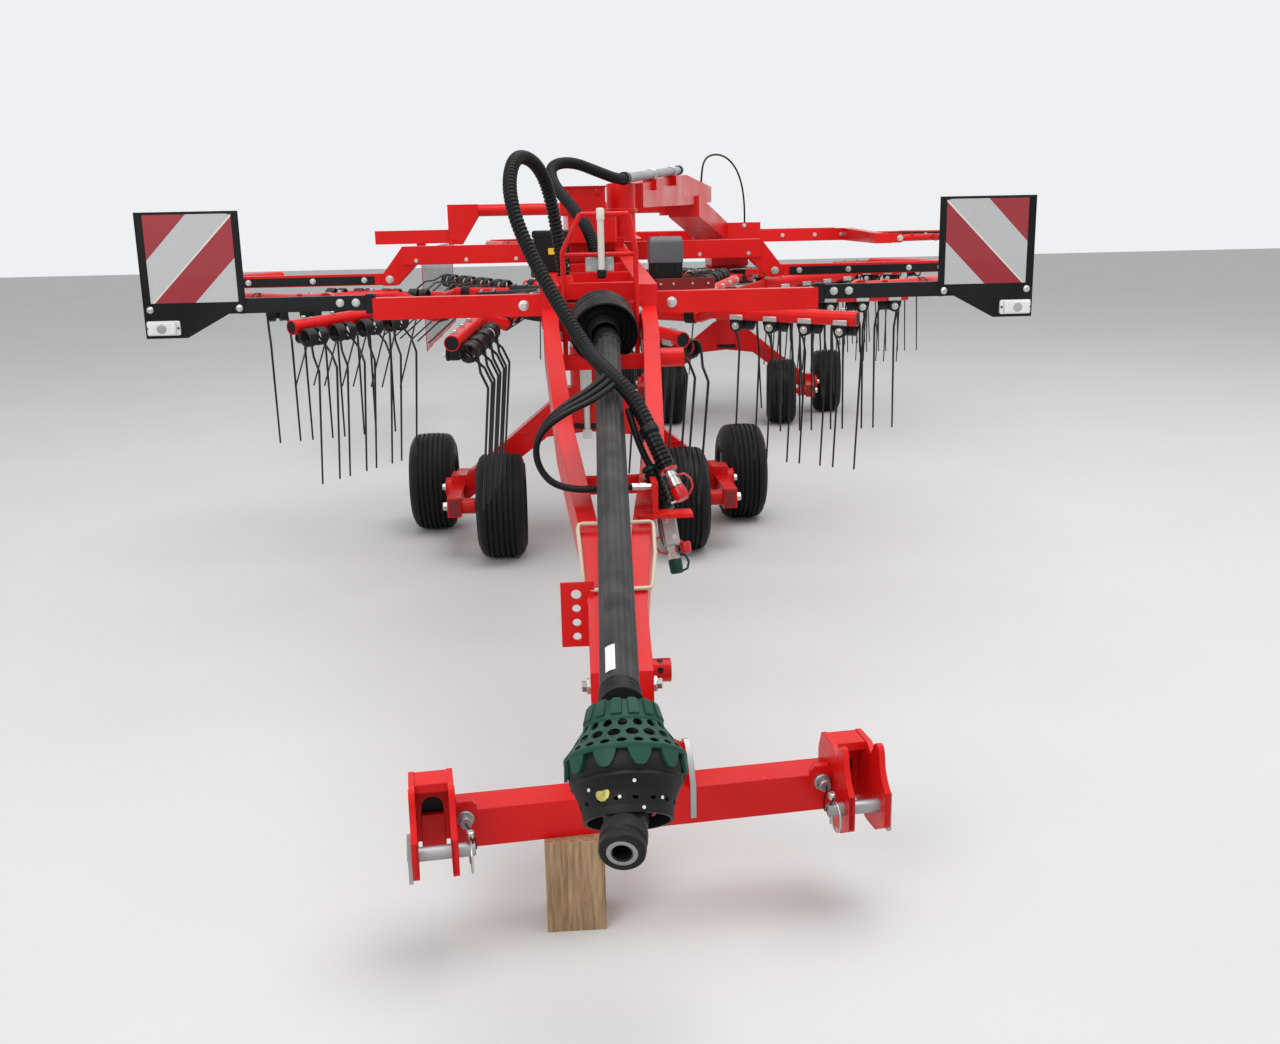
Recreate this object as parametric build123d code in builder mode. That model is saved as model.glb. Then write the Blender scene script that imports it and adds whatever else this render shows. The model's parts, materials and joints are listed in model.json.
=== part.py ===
from build123d import *
from math import cos, radians, sin, tan
import os

os.makedirs("parts", exist_ok=True)

# Trailed twin-rotor side-delivery rotary rake, in millimetres, parked with its headstock on a block.
# The origin is on the ground, midway between the two rotor axes across the machine and at the
# middle of its length. +X is the machine's left, -Y is the direction of travel and +Z is up.

# Layout
rotor_offset = 1110  # rear rotor axis beside the front one
rotor_spacing = 3500  # rear rotor axis behind the front one
front_axis_y = -530
carriage_turn = -9.5  # steering angle of the rear carriage as parked
headstock_turn = 6.8  # swing of the headstock as parked
seat_gap = 0.3  # between pieces that rest on each other
running_clearance = 0.05

# Wheels and carriages
tyre_radius = 228.5
tyre_width = 205
tread_width = 150
rim_radius = 102
rim_width = 176
hub_radius = 40
axle_radius = 20
inner_wheel_x = 395
outer_wheel_x = 738
bogie_half = 294  # wheel axle to bogie pivot, along the machine
bogie_x = 600
bogie_width = 60
bogie_height = 86
pivot_z = 255
column_radius = 45

# Rotors; heights and the arms' offset are taken from the arm plane and the axis
arm_count = 11
first_arm = -6.6  # degrees from straight ahead towards +X
front_arm_z, rear_arm_z = 1078, 1040
rotor_pitch = 3.95  # the front rotor leans forward with its frame
arm_offset = 262  # the arms pass beside the axis
hub_drum_radius = 300
hub_low, hub_high = -75, 30
hub_gap = 8.3  # over the turning hub
socket_radius = 36
socket_start, socket_end = 100, 420
arm_radius = 23
bend_start, bend_end = 690, 775
tine_tube_radius = 28
tine_tube_end = 1357
tine_tube_shift = -76
tine_tube_rise = 35
first_tine = 880
tine_pitch = 140
tines_per_arm = 4
coil_radius = 36
coil_length = 112
coil_angle = 36  # of the coil below the tine tube's level
tine_size = 10
tine_spread = 87  # between the two legs of a double tine
knee_shift, knee_drop = 62, 120
tip_shift, tip_drop = 22, 600
lift_angle = 65  # roll of an arm that the cam has lifted
lift_start, lift_full, lower_start, lower_end = 125, 150, 245, 285

# Drawbar and front frame
rail_width = 48
rail_height = 100
frame_front = -1740
frame_rear = 330
frame_rail_x = 150
frame_rail_z = 1166  # at the front end
frame_rail_height = 122
frame_rise = 0.055  # of the frame per length towards the rear
front_arm_y = frame_front + 140
front_arm_z_level, front_arm_width, front_arm_height = 1164, 66, 68
front_arm_end = 705
panel_arm_z, panel_arm_size, panel_arm_end = 1184, 46, 1215
guard_hinge_x = 860
guard_z = 1190
rear_guard_z = 1290
hinge_pin_radius = 12
knuckle_radius = 25
guard_tube_radius = 21
guard_bar_y = 100
shaft_z = 1132  # where it enters the frame
shaft_tube_radius = 26
shaft_below_rail = frame_rail_z - shaft_z
plate_y = frame_front - 25  # front face of the plate that carries the shaft
gearbox_front, gearbox_rear, gearbox_height = -150, 200, 170
beam_end = 800
front_beam_z = 1290

# Headstock
beam_size = 80
beam_y = -3246
beam_z = 238
hitch_spacing = 870
hitch_pin_radius = 14
hitch_pin_y = beam_y - 120
hitch_pin_z = 236
clevis_gap = 64
cheek_thickness = 12
saddle_top = 345
saddle_thickness = 18
arch_radius = 22
nose_y = -3141
nose_z = 330
nose_radius = 40
nose_height = 80
nose_pin_radius = 20
lug_gap = 6
lug_thickness = 16
lug_width = 96
block_size = 121
block_x = -151
block_y = beam_y - 9

# Drive shaft
shaft_rear = (13, plate_y - 190, 1072)
shaft_front = (-45.4, -3531.7, 586.4)
guard_radius = 37
bell_radius = 106

# Warning panels
panel_size = 282
panel_width = 312
panel_x = 1251
panel_low = 1190
panel_y = front_arm_y - panel_arm_size / 2 - 2.3
panel_thickness = 4
lamp_width, lamp_height = 100, 45

# Rear arm and swath curtain
swing_x, swing_y = 165, -60
swing_low, swing_top, swing_radius = 1450, 1576, 62
boom_stations = (
    (195, 40, 1528, 150, 104), (385, 850, 1560, 160, 140), (540, 1600, 1585, 175, 165), (775, 2420, 1575, 190, 92),
)
leg_start, leg_end = (640, 1880, 1500), (940, 2900, 1338)
tube_front, tube_rear, tube_radius = (165, -300, 1590), (540, 1150, 1676), 20
tube_seats = (330, 900)
curtain_x, curtain_z = -900, 1275
curtain_front, curtain_rear = 1850, 4150
curtain_height = 560
carrier_y, carrier_z = 1900, 1500
carrier_start, carrier_end = 500, -590
carrier_radius = 34
fold_x, fold_z = -700, 1345

# Hoses; each route is a list of points on its middle line
bundle_radius = 21
hose_bundle_route = (
    (-105, -1600, 1251), (-125, -1575, 1440), (-165, -1640, 1590), (-240, -1790, 1620), (-262, -1920, 1500),
    (-205, -1990, 1330), (-60, -2170, 1080), (-10, -2330, 1035), (70, -2440, 965), (112, -2530, 850),
)
branch_radius = 9
hose_branch_route = (
    (43, -2432, 942), (71, -2490, 857), (112, -2520, 785), (134, -2548, 712), (142, -2578, 640),
)
strand_radius = 8
strand_route = (
    (-16, -2380, 1023), (-57, -2470, 1000), (-133, -2545, 968), (-187, -2565, 915), (-200, -2570, 850),
    (-172, -2575, 792), (-120, -2578, 768), (-40, -2580, 766), (38, -2580, 769),
)
strand_steps = (
    (11, -15, -10), (9, -15, -9), (4, -20, -5), (0, -20, 0), (0, -19, 3), (0, -19, 3), (0, -19, 3), (0, -19, 3),
    (0, -19, 3),
)  # from each point to the next strand's
arch_hose_radius = 22
hose_arch_route = (
    (14, -1250, 1264), (5, -1200, 1370), (-60, -1000, 1470), (-130, -800, 1560), (-135, -650, 1632),
    (-50, -545, 1650), (60, -500, 1608), (136.2, -411.3, 1583.4), (160, -319.3, 1588.9),
)
rear_hose_radius = 6
hose_rear_route = (
    (800, 2370, 1635), (806, 2385, 1712), (828, 2440, 1782), (880, 2550, 1820), (960, 2690, 1830), (1040, 2830, 1805),
    (1110, 2960, 1745), (1160, 3075, 1655), (1190, 3170, 1555), (1205, 3240, 1455), (1210, 3280, 1359),
)


def front(x, y, z):
    """A point given from the front rotor's axis at the ground."""
    return Vector(x - rotor_offset / 2, y + front_axis_y, z)


def rear(x, y, z):
    """A point given from the rear rotor's axis at the ground."""
    return Vector(x + rotor_offset / 2, y + front_axis_y + rotor_spacing, z)


def in_frame(x, y, z):
    """A point of the front frame, which rises towards the rear, with z from the rails' middle."""
    return front(x, y, frame_rail_z + frame_rise * (y - frame_front) + z)


def pitched(x, y, z):
    """A point of the front rotor, given from its arm plane on its leaning axis."""
    c, s = cos(radians(rotor_pitch)), sin(radians(rotor_pitch))
    return front(x, c * y - s * z, front_arm_z + s * y + c * z)


def upright(x, y, z):
    """A point of the rear rotor, given from its arm plane on its axis."""
    return rear(x, y, rear_arm_z + z)


def swung(point, centre, angle):
    """The point swung about the vertical line through centre."""
    c, s = cos(radians(angle)), sin(radians(angle))
    dx, dy = point.X - centre.X, point.Y - centre.Y
    return Vector(centre.X + c * dx - s * dy, centre.Y + s * dx + c * dy, point.Z)


def steered(x, y, z):
    """A point of the rear carriage, given from the rear rotor's axis before it is steered."""
    return swung(rear(x, y, z), rear(0, 0, 0), carriage_turn)


def hitched(x, y, z):
    """A point of the headstock, given from the front rotor's axis before it is swung."""
    return swung(front(x, y, z), front(0, nose_y, 0), headstock_turn)


def facing_x(x, place):
    """The plane at x whose coordinates are y and z."""
    origin = place(0, 0, 0)
    return Plane(origin=place(x, 0, 0), x_dir=place(0, 1, 0) - origin, z_dir=place(1, 0, 0) - origin)


def facing_y(y, place):
    """The plane at y whose coordinates are x and z."""
    origin = place(0, 0, 0)
    return Plane(origin=place(0, y, 0), x_dir=place(1, 0, 0) - origin, z_dir=place(0, -1, 0) - origin)


def across(start, end):
    """The plane across the line from start to end, with its x direction level."""
    run = (end - start).normalized()
    level = run.cross(Vector(0, 0, 1))
    return Plane(origin=start, x_dir=level if level.length > 1e-6 else Vector(1, 0, 0), z_dir=run)


def box_bar(start, end, width, height):
    """A box-section bar."""
    with BuildSketch(across(start, end)) as section:
        Rectangle(width, height)
    extrude(section.sketch, amount=(end - start).length)


def round_bar(start, end, radius, mode=Mode.ADD):
    """A round bar, or a round hole where it is taken away."""
    with BuildSketch(across(start, end)) as section:
        Circle(radius)
    extrude(section.sketch, amount=(end - start).length, mode=mode)


def lofted_bar(stations, place, turned_to):
    """A bar through rectangular sections, each x, y, z, width and height, that face along X or Y."""
    sections = []
    for x, y, z, width, height in stations:
        plane = turned_to(x if turned_to is facing_x else y, place)
        with BuildSketch(plane) as section:
            with Locations((y if turned_to is facing_x else x, z)):
                Rectangle(width, height)
        sections.append(section.sketch.face())
    loft(sections, ruled=True)


def bent_tube(points, radius, bends):
    """A round tube along straight runs with rounded bends."""
    with BuildLine() as path:
        FilletPolyline(*points, radius=bends)
    with BuildSketch(across(points[0], points[1])) as section:
        Circle(radius)
    sweep(section.sketch, path=path.line)


def cord(label, route, radius):
    """A hose as straight runs joined by arcs as large as the runs allow."""
    points = [front(*point) for point in route]
    runs = [end - start for start, end in zip(points, points[1:])]
    bends = []
    for before, after in zip(runs, runs[1:]):
        half_turn = radians(before.get_angle(after)) / 2
        bends.append(0.45 * min(before.length, after.length) / tan(half_turn))
    print(label, "radii", [round(bend) for bend in bends])
    with BuildPart() as piece:
        with BuildLine() as path:
            FilletPolyline(*points, radius=bends)
        with BuildSketch(across(points[0], points[1])) as section:
            Circle(radius)
        sweep(section.sketch, path=path.line)
    write(piece, label)


def flat(plane, outline, thickness, holes=()):
    """A flat plate centred on its plane, with round holes given as x, y and radius."""
    with BuildSketch(plane) as shape:
        with BuildLine():
            Polyline(*outline, close=True)
        make_face()
        for x, y, radius in holes:
            with Locations((x, y)):
                Circle(radius, mode=Mode.SUBTRACT)
    extrude(shape.sketch, amount=thickness / 2, both=True)


def turned_ring(plane, axis, outline):
    """A ring turned about the axis from an outline in the plane."""
    with BuildSketch(plane) as profile:
        with BuildLine():
            Polyline(*outline, close=True)
        make_face()
    revolve(profile.sketch, axis=axis)


def write(name, label):
    """Label a finished piece and write it."""
    name.part.label = label
    export_step(name.part, f"parts/{label}.step")


# Headstock: the cross beam with its two clevises, swung on the drawbar's nose
beam_top, beam_bottom = beam_z + beam_size / 2, beam_z - beam_size / 2
beam_back = beam_y + beam_size / 2
lug_z = nose_height / 2 + lug_gap + lug_thickness / 2
clevis_reach = clevis_gap / 2 + cheek_thickness
beam_half = hitch_spacing / 2 - clevis_gap / 2 - cheek_thickness / 2
web_y = beam_y + 12
with BuildPart() as headstock:
    box_bar(hitched(-beam_half, beam_y, beam_z), hitched(beam_half, beam_y, beam_z), beam_size, beam_size)
    for side in (-1, 1):
        middle = side * hitch_spacing / 2
        for face in (-1, 1):
            flat(
                facing_x(middle + face * (clevis_gap + cheek_thickness) / 2, hitched),
                (
                    (hitch_pin_y - 36, hitch_pin_z - 34), (hitch_pin_y + 16, beam_bottom - 26),
                    (beam_y - 50, beam_bottom - 26), (beam_back, beam_bottom), (beam_back, saddle_top - 40),
                    (beam_y + 22, saddle_top), (beam_y - 45, saddle_top), (hitch_pin_y - 36, hitch_pin_z + 40),
                ),
                cheek_thickness,
                [(hitch_pin_y, hitch_pin_z, hitch_pin_radius + seat_gap)],
            )
        box_bar(
            hitched(middle - clevis_gap / 2, beam_y - 10, saddle_top - saddle_thickness / 2 - 2),
            hitched(middle + clevis_gap / 2, beam_y - 10, saddle_top - saddle_thickness / 2 - 2),
            64, saddle_thickness,
        )
        with BuildSketch(facing_y(web_y, hitched)) as web:
            with Locations((middle, (saddle_top + beam_bottom) / 2 - 4)):
                Rectangle(clevis_gap + cheek_thickness, saddle_top - beam_bottom - 8)
            with Locations((middle, beam_top - 6)):
                Circle(arch_radius, mode=Mode.SUBTRACT)
            with Locations((middle, (beam_top + beam_bottom) / 2 - 6)):
                Rectangle(2 * arch_radius, beam_size + 10, mode=Mode.SUBTRACT)
        extrude(web.sketch, amount=cheek_thickness / 2, both=True)
    for lug in (-1, 1):
        level = nose_z + lug * lug_z
        lug_end = nose_y + nose_radius - 6
        box_bar(hitched(0, beam_back - 40, level), hitched(0, lug_end, level), lug_width, lug_thickness)
    riser_top = nose_z + lug_z + lug_thickness / 2
    flat(
        facing_x(0, hitched),
        ((beam_y - 30, beam_top - 5), (beam_back, beam_top - 5), (beam_back, riser_top), (beam_back - 40, riser_top)),
        lug_width,
    )
    nose_top, nose_bottom = hitched(0, nose_y, riser_top + 12), hitched(0, nose_y, 2 * nose_z - riser_top - 12)
    round_bar(nose_bottom, nose_top, nose_pin_radius)
write(headstock, "headstock")

with BuildPart() as hitch_pins:
    for side in (-1, 1):
        middle = side * hitch_spacing / 2
        outside = middle + side * (clevis_reach + seat_gap)
        round_bar(
            hitched(middle - side * (clevis_reach + 32), hitch_pin_y, hitch_pin_z),
            hitched(outside, hitch_pin_y, hitch_pin_z), hitch_pin_radius,
        )
        box_bar(
            hitched(outside, hitch_pin_y, hitch_pin_z - 8), hitched(outside + side * 8, hitch_pin_y, hitch_pin_z - 8),
            44, 84,
        )
write(hitch_pins, "hitch_pins")

with BuildPart() as support_block:
    foot = hitched(block_x, block_y, 0)
    box_bar(foot, Vector(foot.X, foot.Y, beam_bottom), block_size, block_size)
write(support_block, "support_block")

# Drawbar: two rails that rise in front of the tine circle, with their nose, cross bars and brackets
rail_stations = (
    (-3080, 414, -20, 45), (-2900, 508, -18, 44), (-2650, 640, -8, 66), (-2300, 830, 0, 122),
    (frame_front - 110, 1062, 0, frame_rail_x), (frame_front, 1112, 0, frame_rail_x),
)
parking_y, parking_z = -2625, 706.5
with BuildPart() as drawbar:
    for side in (-1, 1):
        lofted_bar(
            [(middle + side * half, y, z, rail_width, rail_height) for y, z, middle, half in rail_stations],
            front, facing_y,
        )
    for y, z, half in ((-2430, 745, 90), (-2980, 450, 50), (frame_front - 160, 1010, 140)):
        box_bar(front(-half, y, z), front(half, y, z), 34, 44)
    lofted_bar(
        [(0, nose_y + 30, nose_z, 60, 60), (-8, nose_y + 68, nose_z + 18, 80, 64), (-20, -3010, 446, 120, 96)],
        front, facing_y,
    )
    box_bar(front(-128, frame_front - 15, 1118), front(128, frame_front - 15, 1118), 20, 116)
    round_bar(
        in_frame(0, frame_front - 40, -shaft_below_rail), in_frame(0, frame_front, -shaft_below_rail),
        shaft_tube_radius + seat_gap, Mode.SUBTRACT,
    )
    round_bar(front(0, nose_y, nose_z - nose_height / 2), front(0, nose_y, nose_z + nose_height / 2), nose_radius)
    round_bar(
        front(0, nose_y, nose_z - nose_height / 2), front(0, nose_y, nose_z + nose_height / 2),
        nose_pin_radius + running_clearance, Mode.SUBTRACT,
    )
    round_bar(front(20, -2950, 417), front(97, -2950, 417), 27)
    round_bar(front(165, frame_front - 180, 1020), front(240, frame_front - 180, 1020), 28)
    flat(
        facing_y(-2860, front), ((-148, 452), (-70, 452), (-70, 606), (-148, 606)), 10,
        [(-112, 476, 10), (-112, 510, 10), (-112, 544, 10), (-112, 578, 12)],
    )
    box_bar(front(50, parking_y, parking_z), front(185, parking_y, parking_z), 60, 10)
    box_bar(front(92.5, -2645, 750), front(92.5, -2568, 750), 15, 80)
write(drawbar, "drawbar")

# Main frame over the front rotor: rails, cross bars, front arms, side beams and the head of the rear arm
rail_half = frame_rail_height / 2
cross_bar_z = rail_half - 31
gearbox_top = gearbox_height / 2 - shaft_below_rail
with BuildPart() as main_frame:
    for side in (-1, 1):
        x = side * frame_rail_x
        rail_ends = in_frame(0, frame_front, 0).Z, in_frame(0, frame_rear, 0).Z
        lofted_bar(
            [(x, frame_front + seat_gap, rail_ends[0], 60, frame_rail_height),
             (x, frame_rear, rail_ends[1], 60, frame_rail_height)],
            front, facing_y,
        )
        lofted_bar(
            [(side * 170, front_arm_y, front_arm_z_level, front_arm_width, front_arm_height),
             (side * front_arm_end, front_arm_y, front_arm_z_level, front_arm_width, front_arm_height)],
            front, facing_x,
        )
        box_bar(
            front(side * 150, guard_bar_y, front_beam_z), front(side * beam_end, guard_bar_y, front_beam_z), 100, 80,
        )
        for face in (-1, 1):
            flat(
                facing_y(guard_bar_y + face * 38, front),
                (
                    (side * 740, front_beam_z - 38), (side * 740, front_beam_z + 38),
                    (side * beam_end, front_beam_z + 38), (side * 892, guard_z + 20), (side * 892, guard_z - 28),
                    (side * 830, guard_z - 28),
                ),
                10,
            )
        round_bar(
            front(side * guard_hinge_x, guard_bar_y - 48, guard_z),
            front(side * guard_hinge_x, guard_bar_y + 48, guard_z), hinge_pin_radius,
        )
    for y in (front_arm_y, -1250, -900, -190, frame_rear - 30):
        box_bar(in_frame(-frame_rail_x, y, cross_bar_z), in_frame(frame_rail_x, y, cross_bar_z), 60, 50)
    for route in (hose_bundle_route, hose_arch_route):
        exit_point = front(*route[0])
        onward = (front(*route[1]) - exit_point).normalized()
        round_bar(exit_point - onward * 32, exit_point - onward * seat_gap, 27)
    box_bar(front(170, -900, 1178), front(390, -900, 1178), 160, 24)
    box_bar(
        in_frame(0, -230, gearbox_top + seat_gap + 25), in_frame(0, 260, gearbox_top + seat_gap + 25), 330, 50,
    )
    lofted_bar([(25, -420, 1392, 190, 112), (40, 130, 1392, 250, 112)], front, facing_y)
    box_bar(front(-9, -430, 1500), front(-9, -130, 1500), 184, 110)
    round_bar(front(swing_x, swing_y, 1345), front(swing_x, swing_y, swing_low), swing_radius)
    round_bar(front(swing_x, swing_y, swing_low), front(swing_x, swing_y, swing_top), 25)
write(main_frame, "main_frame")

with BuildPart() as front_gearbox:
    box_bar(
        in_frame(0, gearbox_front, -shaft_below_rail), in_frame(0, gearbox_rear, -shaft_below_rail),
        232, gearbox_height,
    )
    round_bar(pitched(0, 0, hub_high + hub_gap), pitched(0, 0, hub_high + 50), 110)
write(front_gearbox, "front_gearbox")

with BuildPart() as shaft_tunnel:
    bell_rear, bell_step, bell_mouth = plate_y - seat_gap * 2, plate_y - 65, plate_y - 140
    turned_ring(
        facing_x(0, front), Axis(front(0, 0, shaft_z), front(0, 1, 0) - front(0, 0, 0)),
        ((bell_mouth, shaft_z + 92), (bell_mouth, shaft_z + 100), (bell_step, shaft_z + 100),
         (bell_rear, shaft_z + 60), (bell_rear, shaft_z + 50), (bell_step, shaft_z + 92)),
    )
    round_bar(
        in_frame(0, plate_y - 5, -shaft_below_rail), in_frame(0, gearbox_front - seat_gap, -shaft_below_rail),
        shaft_tube_radius,
    )
    round_bar(front(0, plate_y - 7, shaft_z), front(0, plate_y - seat_gap, shaft_z), 56)
write(shaft_tunnel, "shaft_tunnel")

cage_y = plate_y - 25
with BuildPart() as hose_cage:
    for x, top in ((-108, -52), (112, 92)):
        bent_tube((front(x, cage_y, 1010), front(x, cage_y, 1330), front(top, cage_y, 1440)), 8, 30)
        box_bar(front(x, cage_y, 1090), front(x, plate_y - seat_gap, 1090), 18, 26)
    round_bar(front(-52, cage_y, 1438), front(92, cage_y, 1438), 8)
    round_bar(front(-108, cage_y, 1320), front(112, cage_y, 1320), 7)
    round_bar(front(8, cage_y - 10, 1275), front(8, cage_y - 10, 1452), 9)
    round_bar(front(8, cage_y - 10, 1320), front(8, cage_y + 2, 1320), 9)
write(hose_cage, "hose_cage")

with BuildPart() as control_box:
    box_bar(in_frame(-140, -1290, rail_half + 63), in_frame(-140, -1130, rail_half + 63), 120, 120)
    box_bar(in_frame(-150, -1250, rail_half + 1.5), in_frame(-150, -1170, rail_half + 1.5), 40, 2.4)
write(control_box, "control_box")

with BuildPart() as valve_box:
    box_bar(front(280, -965, 1275), front(280, -835, 1275), 120, 169)
write(valve_box, "valve_box")

# Warning panels on black tubes that also carry the front hinge of the guards
with BuildPart() as panel_arms:
    for side in (-1, 1):
        box_bar(
            front(side * (front_arm_end + seat_gap), front_arm_y, panel_arm_z),
            front(side * panel_arm_end, front_arm_y, panel_arm_z), panel_arm_size, panel_arm_size,
        )
        round_bar(
            front(side * guard_hinge_x, front_arm_y + 20, guard_z),
            front(side * guard_hinge_x, front_arm_y + 100, guard_z), hinge_pin_radius,
        )
write(panel_arms, "panel_arms")

with BuildPart() as warning_panels:
    for side in (-1, 1):
        inner, outer = side * (panel_x - panel_width / 2), side * (panel_x + panel_width / 2)
        flat(facing_y(panel_y, front),
             ((inner, panel_low), (side * 1280, panel_low - 100), (outer, panel_low - 100),
              (outer, panel_low + panel_size), (inner, panel_low + panel_size)), panel_thickness)
write(warning_panels, "warning_panels")

with BuildPart() as panel_lamps:
    for side in (-1, 1):
        middle = side * (panel_x + 98)
        lamp_front = panel_y - panel_thickness / 2 - seat_gap
        box_bar(front(middle, lamp_front, 1122), front(middle, lamp_front - 34, 1122), lamp_width, lamp_height)
write(panel_lamps, "panel_lamps")

# Drive shaft, parked on the drawbar
shaft_run = front(*shaft_front) - front(*shaft_rear)
shaft_dir = shaft_run.normalized()
rib_count, rib_pitch, rib_width = 14, 52, 12
with BuildPart() as shaft_guard:
    ribs = []
    for index in range(rib_count):
        start = 20 + index * rib_pitch
        ribs += [(start, guard_radius - 7), (start, guard_radius), (start + rib_width, guard_radius),
                 (start + rib_width, guard_radius - 7)]
    turned_ring(
        Plane(origin=front(*shaft_rear), x_dir=shaft_dir, z_dir=shaft_dir.cross(Vector(0, 0, 1))),
        Axis(front(*shaft_rear), shaft_dir),
        [(0, 0), (0, guard_radius - 7)] + ribs
        + [(shaft_run.length / 2, guard_radius - 7), (shaft_run.length / 2, guard_radius),
           (shaft_run.length, guard_radius), (shaft_run.length, 0)],
    )
    bent_tube(
        (front(*shaft_rear) + shaft_dir, front(0, plate_y - 45, shaft_z), front(0, plate_y - 7 - seat_gap, shaft_z)),
        22, 50,
    )
write(shaft_guard, "shaft_guard")

bell_dir = Vector(0, -cos(radians(41)), -sin(radians(41)))
bell_centre = front(-45, -3667, 512)
with BuildPart() as shaft_bell:
    turned_ring(
        Plane(origin=bell_centre, x_dir=bell_dir, z_dir=Vector(1, 0, 0)), Axis(bell_centre, bell_dir),
        ((-100, 50), (-100, 66), (-30, 92), (-14, bell_radius), (14, bell_radius), (24, 92), (95, 74), (95, 68),
         (20, 84), (-30, 80)),
    )
    round_bar(bell_centre - bell_dir * 100, bell_centre - bell_dir * 84, 66)
write(shaft_bell, "shaft_bell")

cross_point = bell_centre + bell_dir * 62
yoke_front = front(-62, -3832, 438)
yoke_dir = (yoke_front - cross_point).normalized()
yoke_hub = yoke_front - yoke_dir * 66
with BuildPart() as shaft_yoke:
    round_bar(yoke_hub, yoke_front, 32)
    for face in (-1, 1):
        box_bar(yoke_hub + yoke_dir * 30 + Vector(face * 26, 0, 0), cross_point + Vector(face * 30, 0, 0), 14, 46)
    round_bar(cross_point + Vector(-38, 0, 0), cross_point + Vector(38, 0, 0), 16)
    round_bar(cross_point, bell_centre - bell_dir * (84 - seat_gap), 26)
    round_bar(yoke_front - yoke_dir * 56, yoke_front + yoke_dir, 17.5, Mode.SUBTRACT)
write(shaft_yoke, "shaft_yoke")


def running_gear(place, column_foot):
    """Legs, tandem beams and axle stubs below a rotor."""
    flat(facing_y(0, place),
         ((0, 700), (-90, 700), (-560, 318), (-630, 318), (-630, 205), (-560, 205), (-190, 480), (0, 500), (190, 480),
          (560, 205), (630, 205), (630, 318), (560, 318), (90, 700)), 100)
    for side in (-1, 1):
        box_bar(place(side * bogie_x, -bogie_half - 50, 232), place(side * bogie_x, bogie_half + 50, 232),
                bogie_width, bogie_height)
        round_bar(place(side * (bogie_x + 28), 0, pivot_z), place(side * (bogie_x + 52), 0, pivot_z), 44)
        inner_axle = place(side * bogie_x, -bogie_half, tyre_radius)
        outer_axle = place(side * bogie_x, bogie_half, tyre_radius)
        round_bar(inner_axle, place(side * (inner_wheel_x - 66), -bogie_half, tyre_radius), axle_radius)
        round_bar(inner_axle, place(side * 512, -bogie_half, tyre_radius), 34)
        round_bar(outer_axle, place(side * (outer_wheel_x + 66), bogie_half, tyre_radius), axle_radius)
    round_bar(place(0, 0, 520), place(0, 0, column_foot), 78)


# Front running gear with the column that the rotor turns on
with BuildPart() as front_carriage:
    running_gear(front, 880)
    round_bar(pitched(0, 0, -280), pitched(0, 0, hub_high + hub_gap - seat_gap), column_radius)
    round_bar(pitched(0, 0, -215), pitched(0, 0, hub_low - seat_gap), 62)
write(front_carriage, "front_carriage")

with BuildPart() as lift_cylinder:
    round_bar(front(-10, -112, 640), front(-10, -112, 865), 26)
    round_bar(front(-10, -112, 500), front(-10, -112, 640), 14)
    box_bar(front(-10, -132, 499.7), front(-10, -50 - seat_gap, 499.7), 40, 40)
    box_bar(front(-10, -112, 850), front(-10, -78 - seat_gap, 850), 40, 40)
write(lift_cylinder, "lift_cylinder")

# Rear running gear, steered about the rear column
with BuildPart() as rear_carriage:
    running_gear(steered, 720)
    round_bar(rear(0, 0, 560), rear(0, 0, 720), column_radius + running_clearance, Mode.SUBTRACT)
write(rear_carriage, "rear_carriage")


def tyre(label, centre, across_dir):
    """A tyre with rounded shoulders."""
    with BuildPart() as piece:
        plane = Plane(origin=centre, x_dir=across_dir, z_dir=across_dir.cross(Vector(0, 0, 1)))
        half, tread, inside = tyre_width / 2, tread_width / 2, rim_radius + seat_gap
        turned_ring(
            plane, Axis(centre, across_dir),
            ((-half + 26, inside), (-half, 135), (-half, 178), (-tread - 14, 212), (-tread, 224),
             (-tread / 2, tyre_radius), (tread / 2, tyre_radius), (tread, 224), (tread + 14, 212), (half, 178),
             (half, 135), (half - 26, inside)),
        )
    write(piece, label)


def rim(label, centre, across_dir):
    """A wheel disc with its hub."""
    with BuildPart() as piece:
        plane = Plane(origin=centre, x_dir=across_dir, z_dir=across_dir.cross(Vector(0, 0, 1)))
        half = rim_width / 2
        turned_ring(
            plane, Axis(centre, across_dir),
            ((-half, 92), (-half, rim_radius), (half, rim_radius), (half, 92), (30, 84), (30, 62), (62, hub_radius),
             (62, axle_radius + running_clearance), (-62, axle_radius + running_clearance), (-62, hub_radius),
             (10, 62), (10, 84)),
        )
    write(piece, label)


for unit, place in (("front", front), ("rear", steered)):
    for side, side_name in ((-1, "left"), (1, "right")):
        out = place(side, 0, 0) - place(0, 0, 0)
        for kind, x, y in (("inner", inner_wheel_x, -bogie_half), ("outer", outer_wheel_x, bogie_half)):
            centre = place(side * x, y, tyre_radius)
            tyre(f"tyre_{unit}_{side_name}_{kind}", centre, out)
            rim(f"rim_{unit}_{side_name}_{kind}", centre, out)


coil_reach = tine_tube_radius + coil_radius + seat_gap
coil_shift, coil_drop = coil_reach * cos(radians(coil_angle)), coil_reach * sin(radians(coil_angle))


def leg_outline():
    """The side view of one tine leg, from the coil's centre down to the tip."""
    half = tine_size / 2
    low = -tip_drop + coil_drop
    return ((-half, 0), (knee_shift - half, -knee_drop), (tip_shift - half, low), (tip_shift + half, low),
            (knee_shift + half + 1, -knee_drop), (half + 2, 0))


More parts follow.
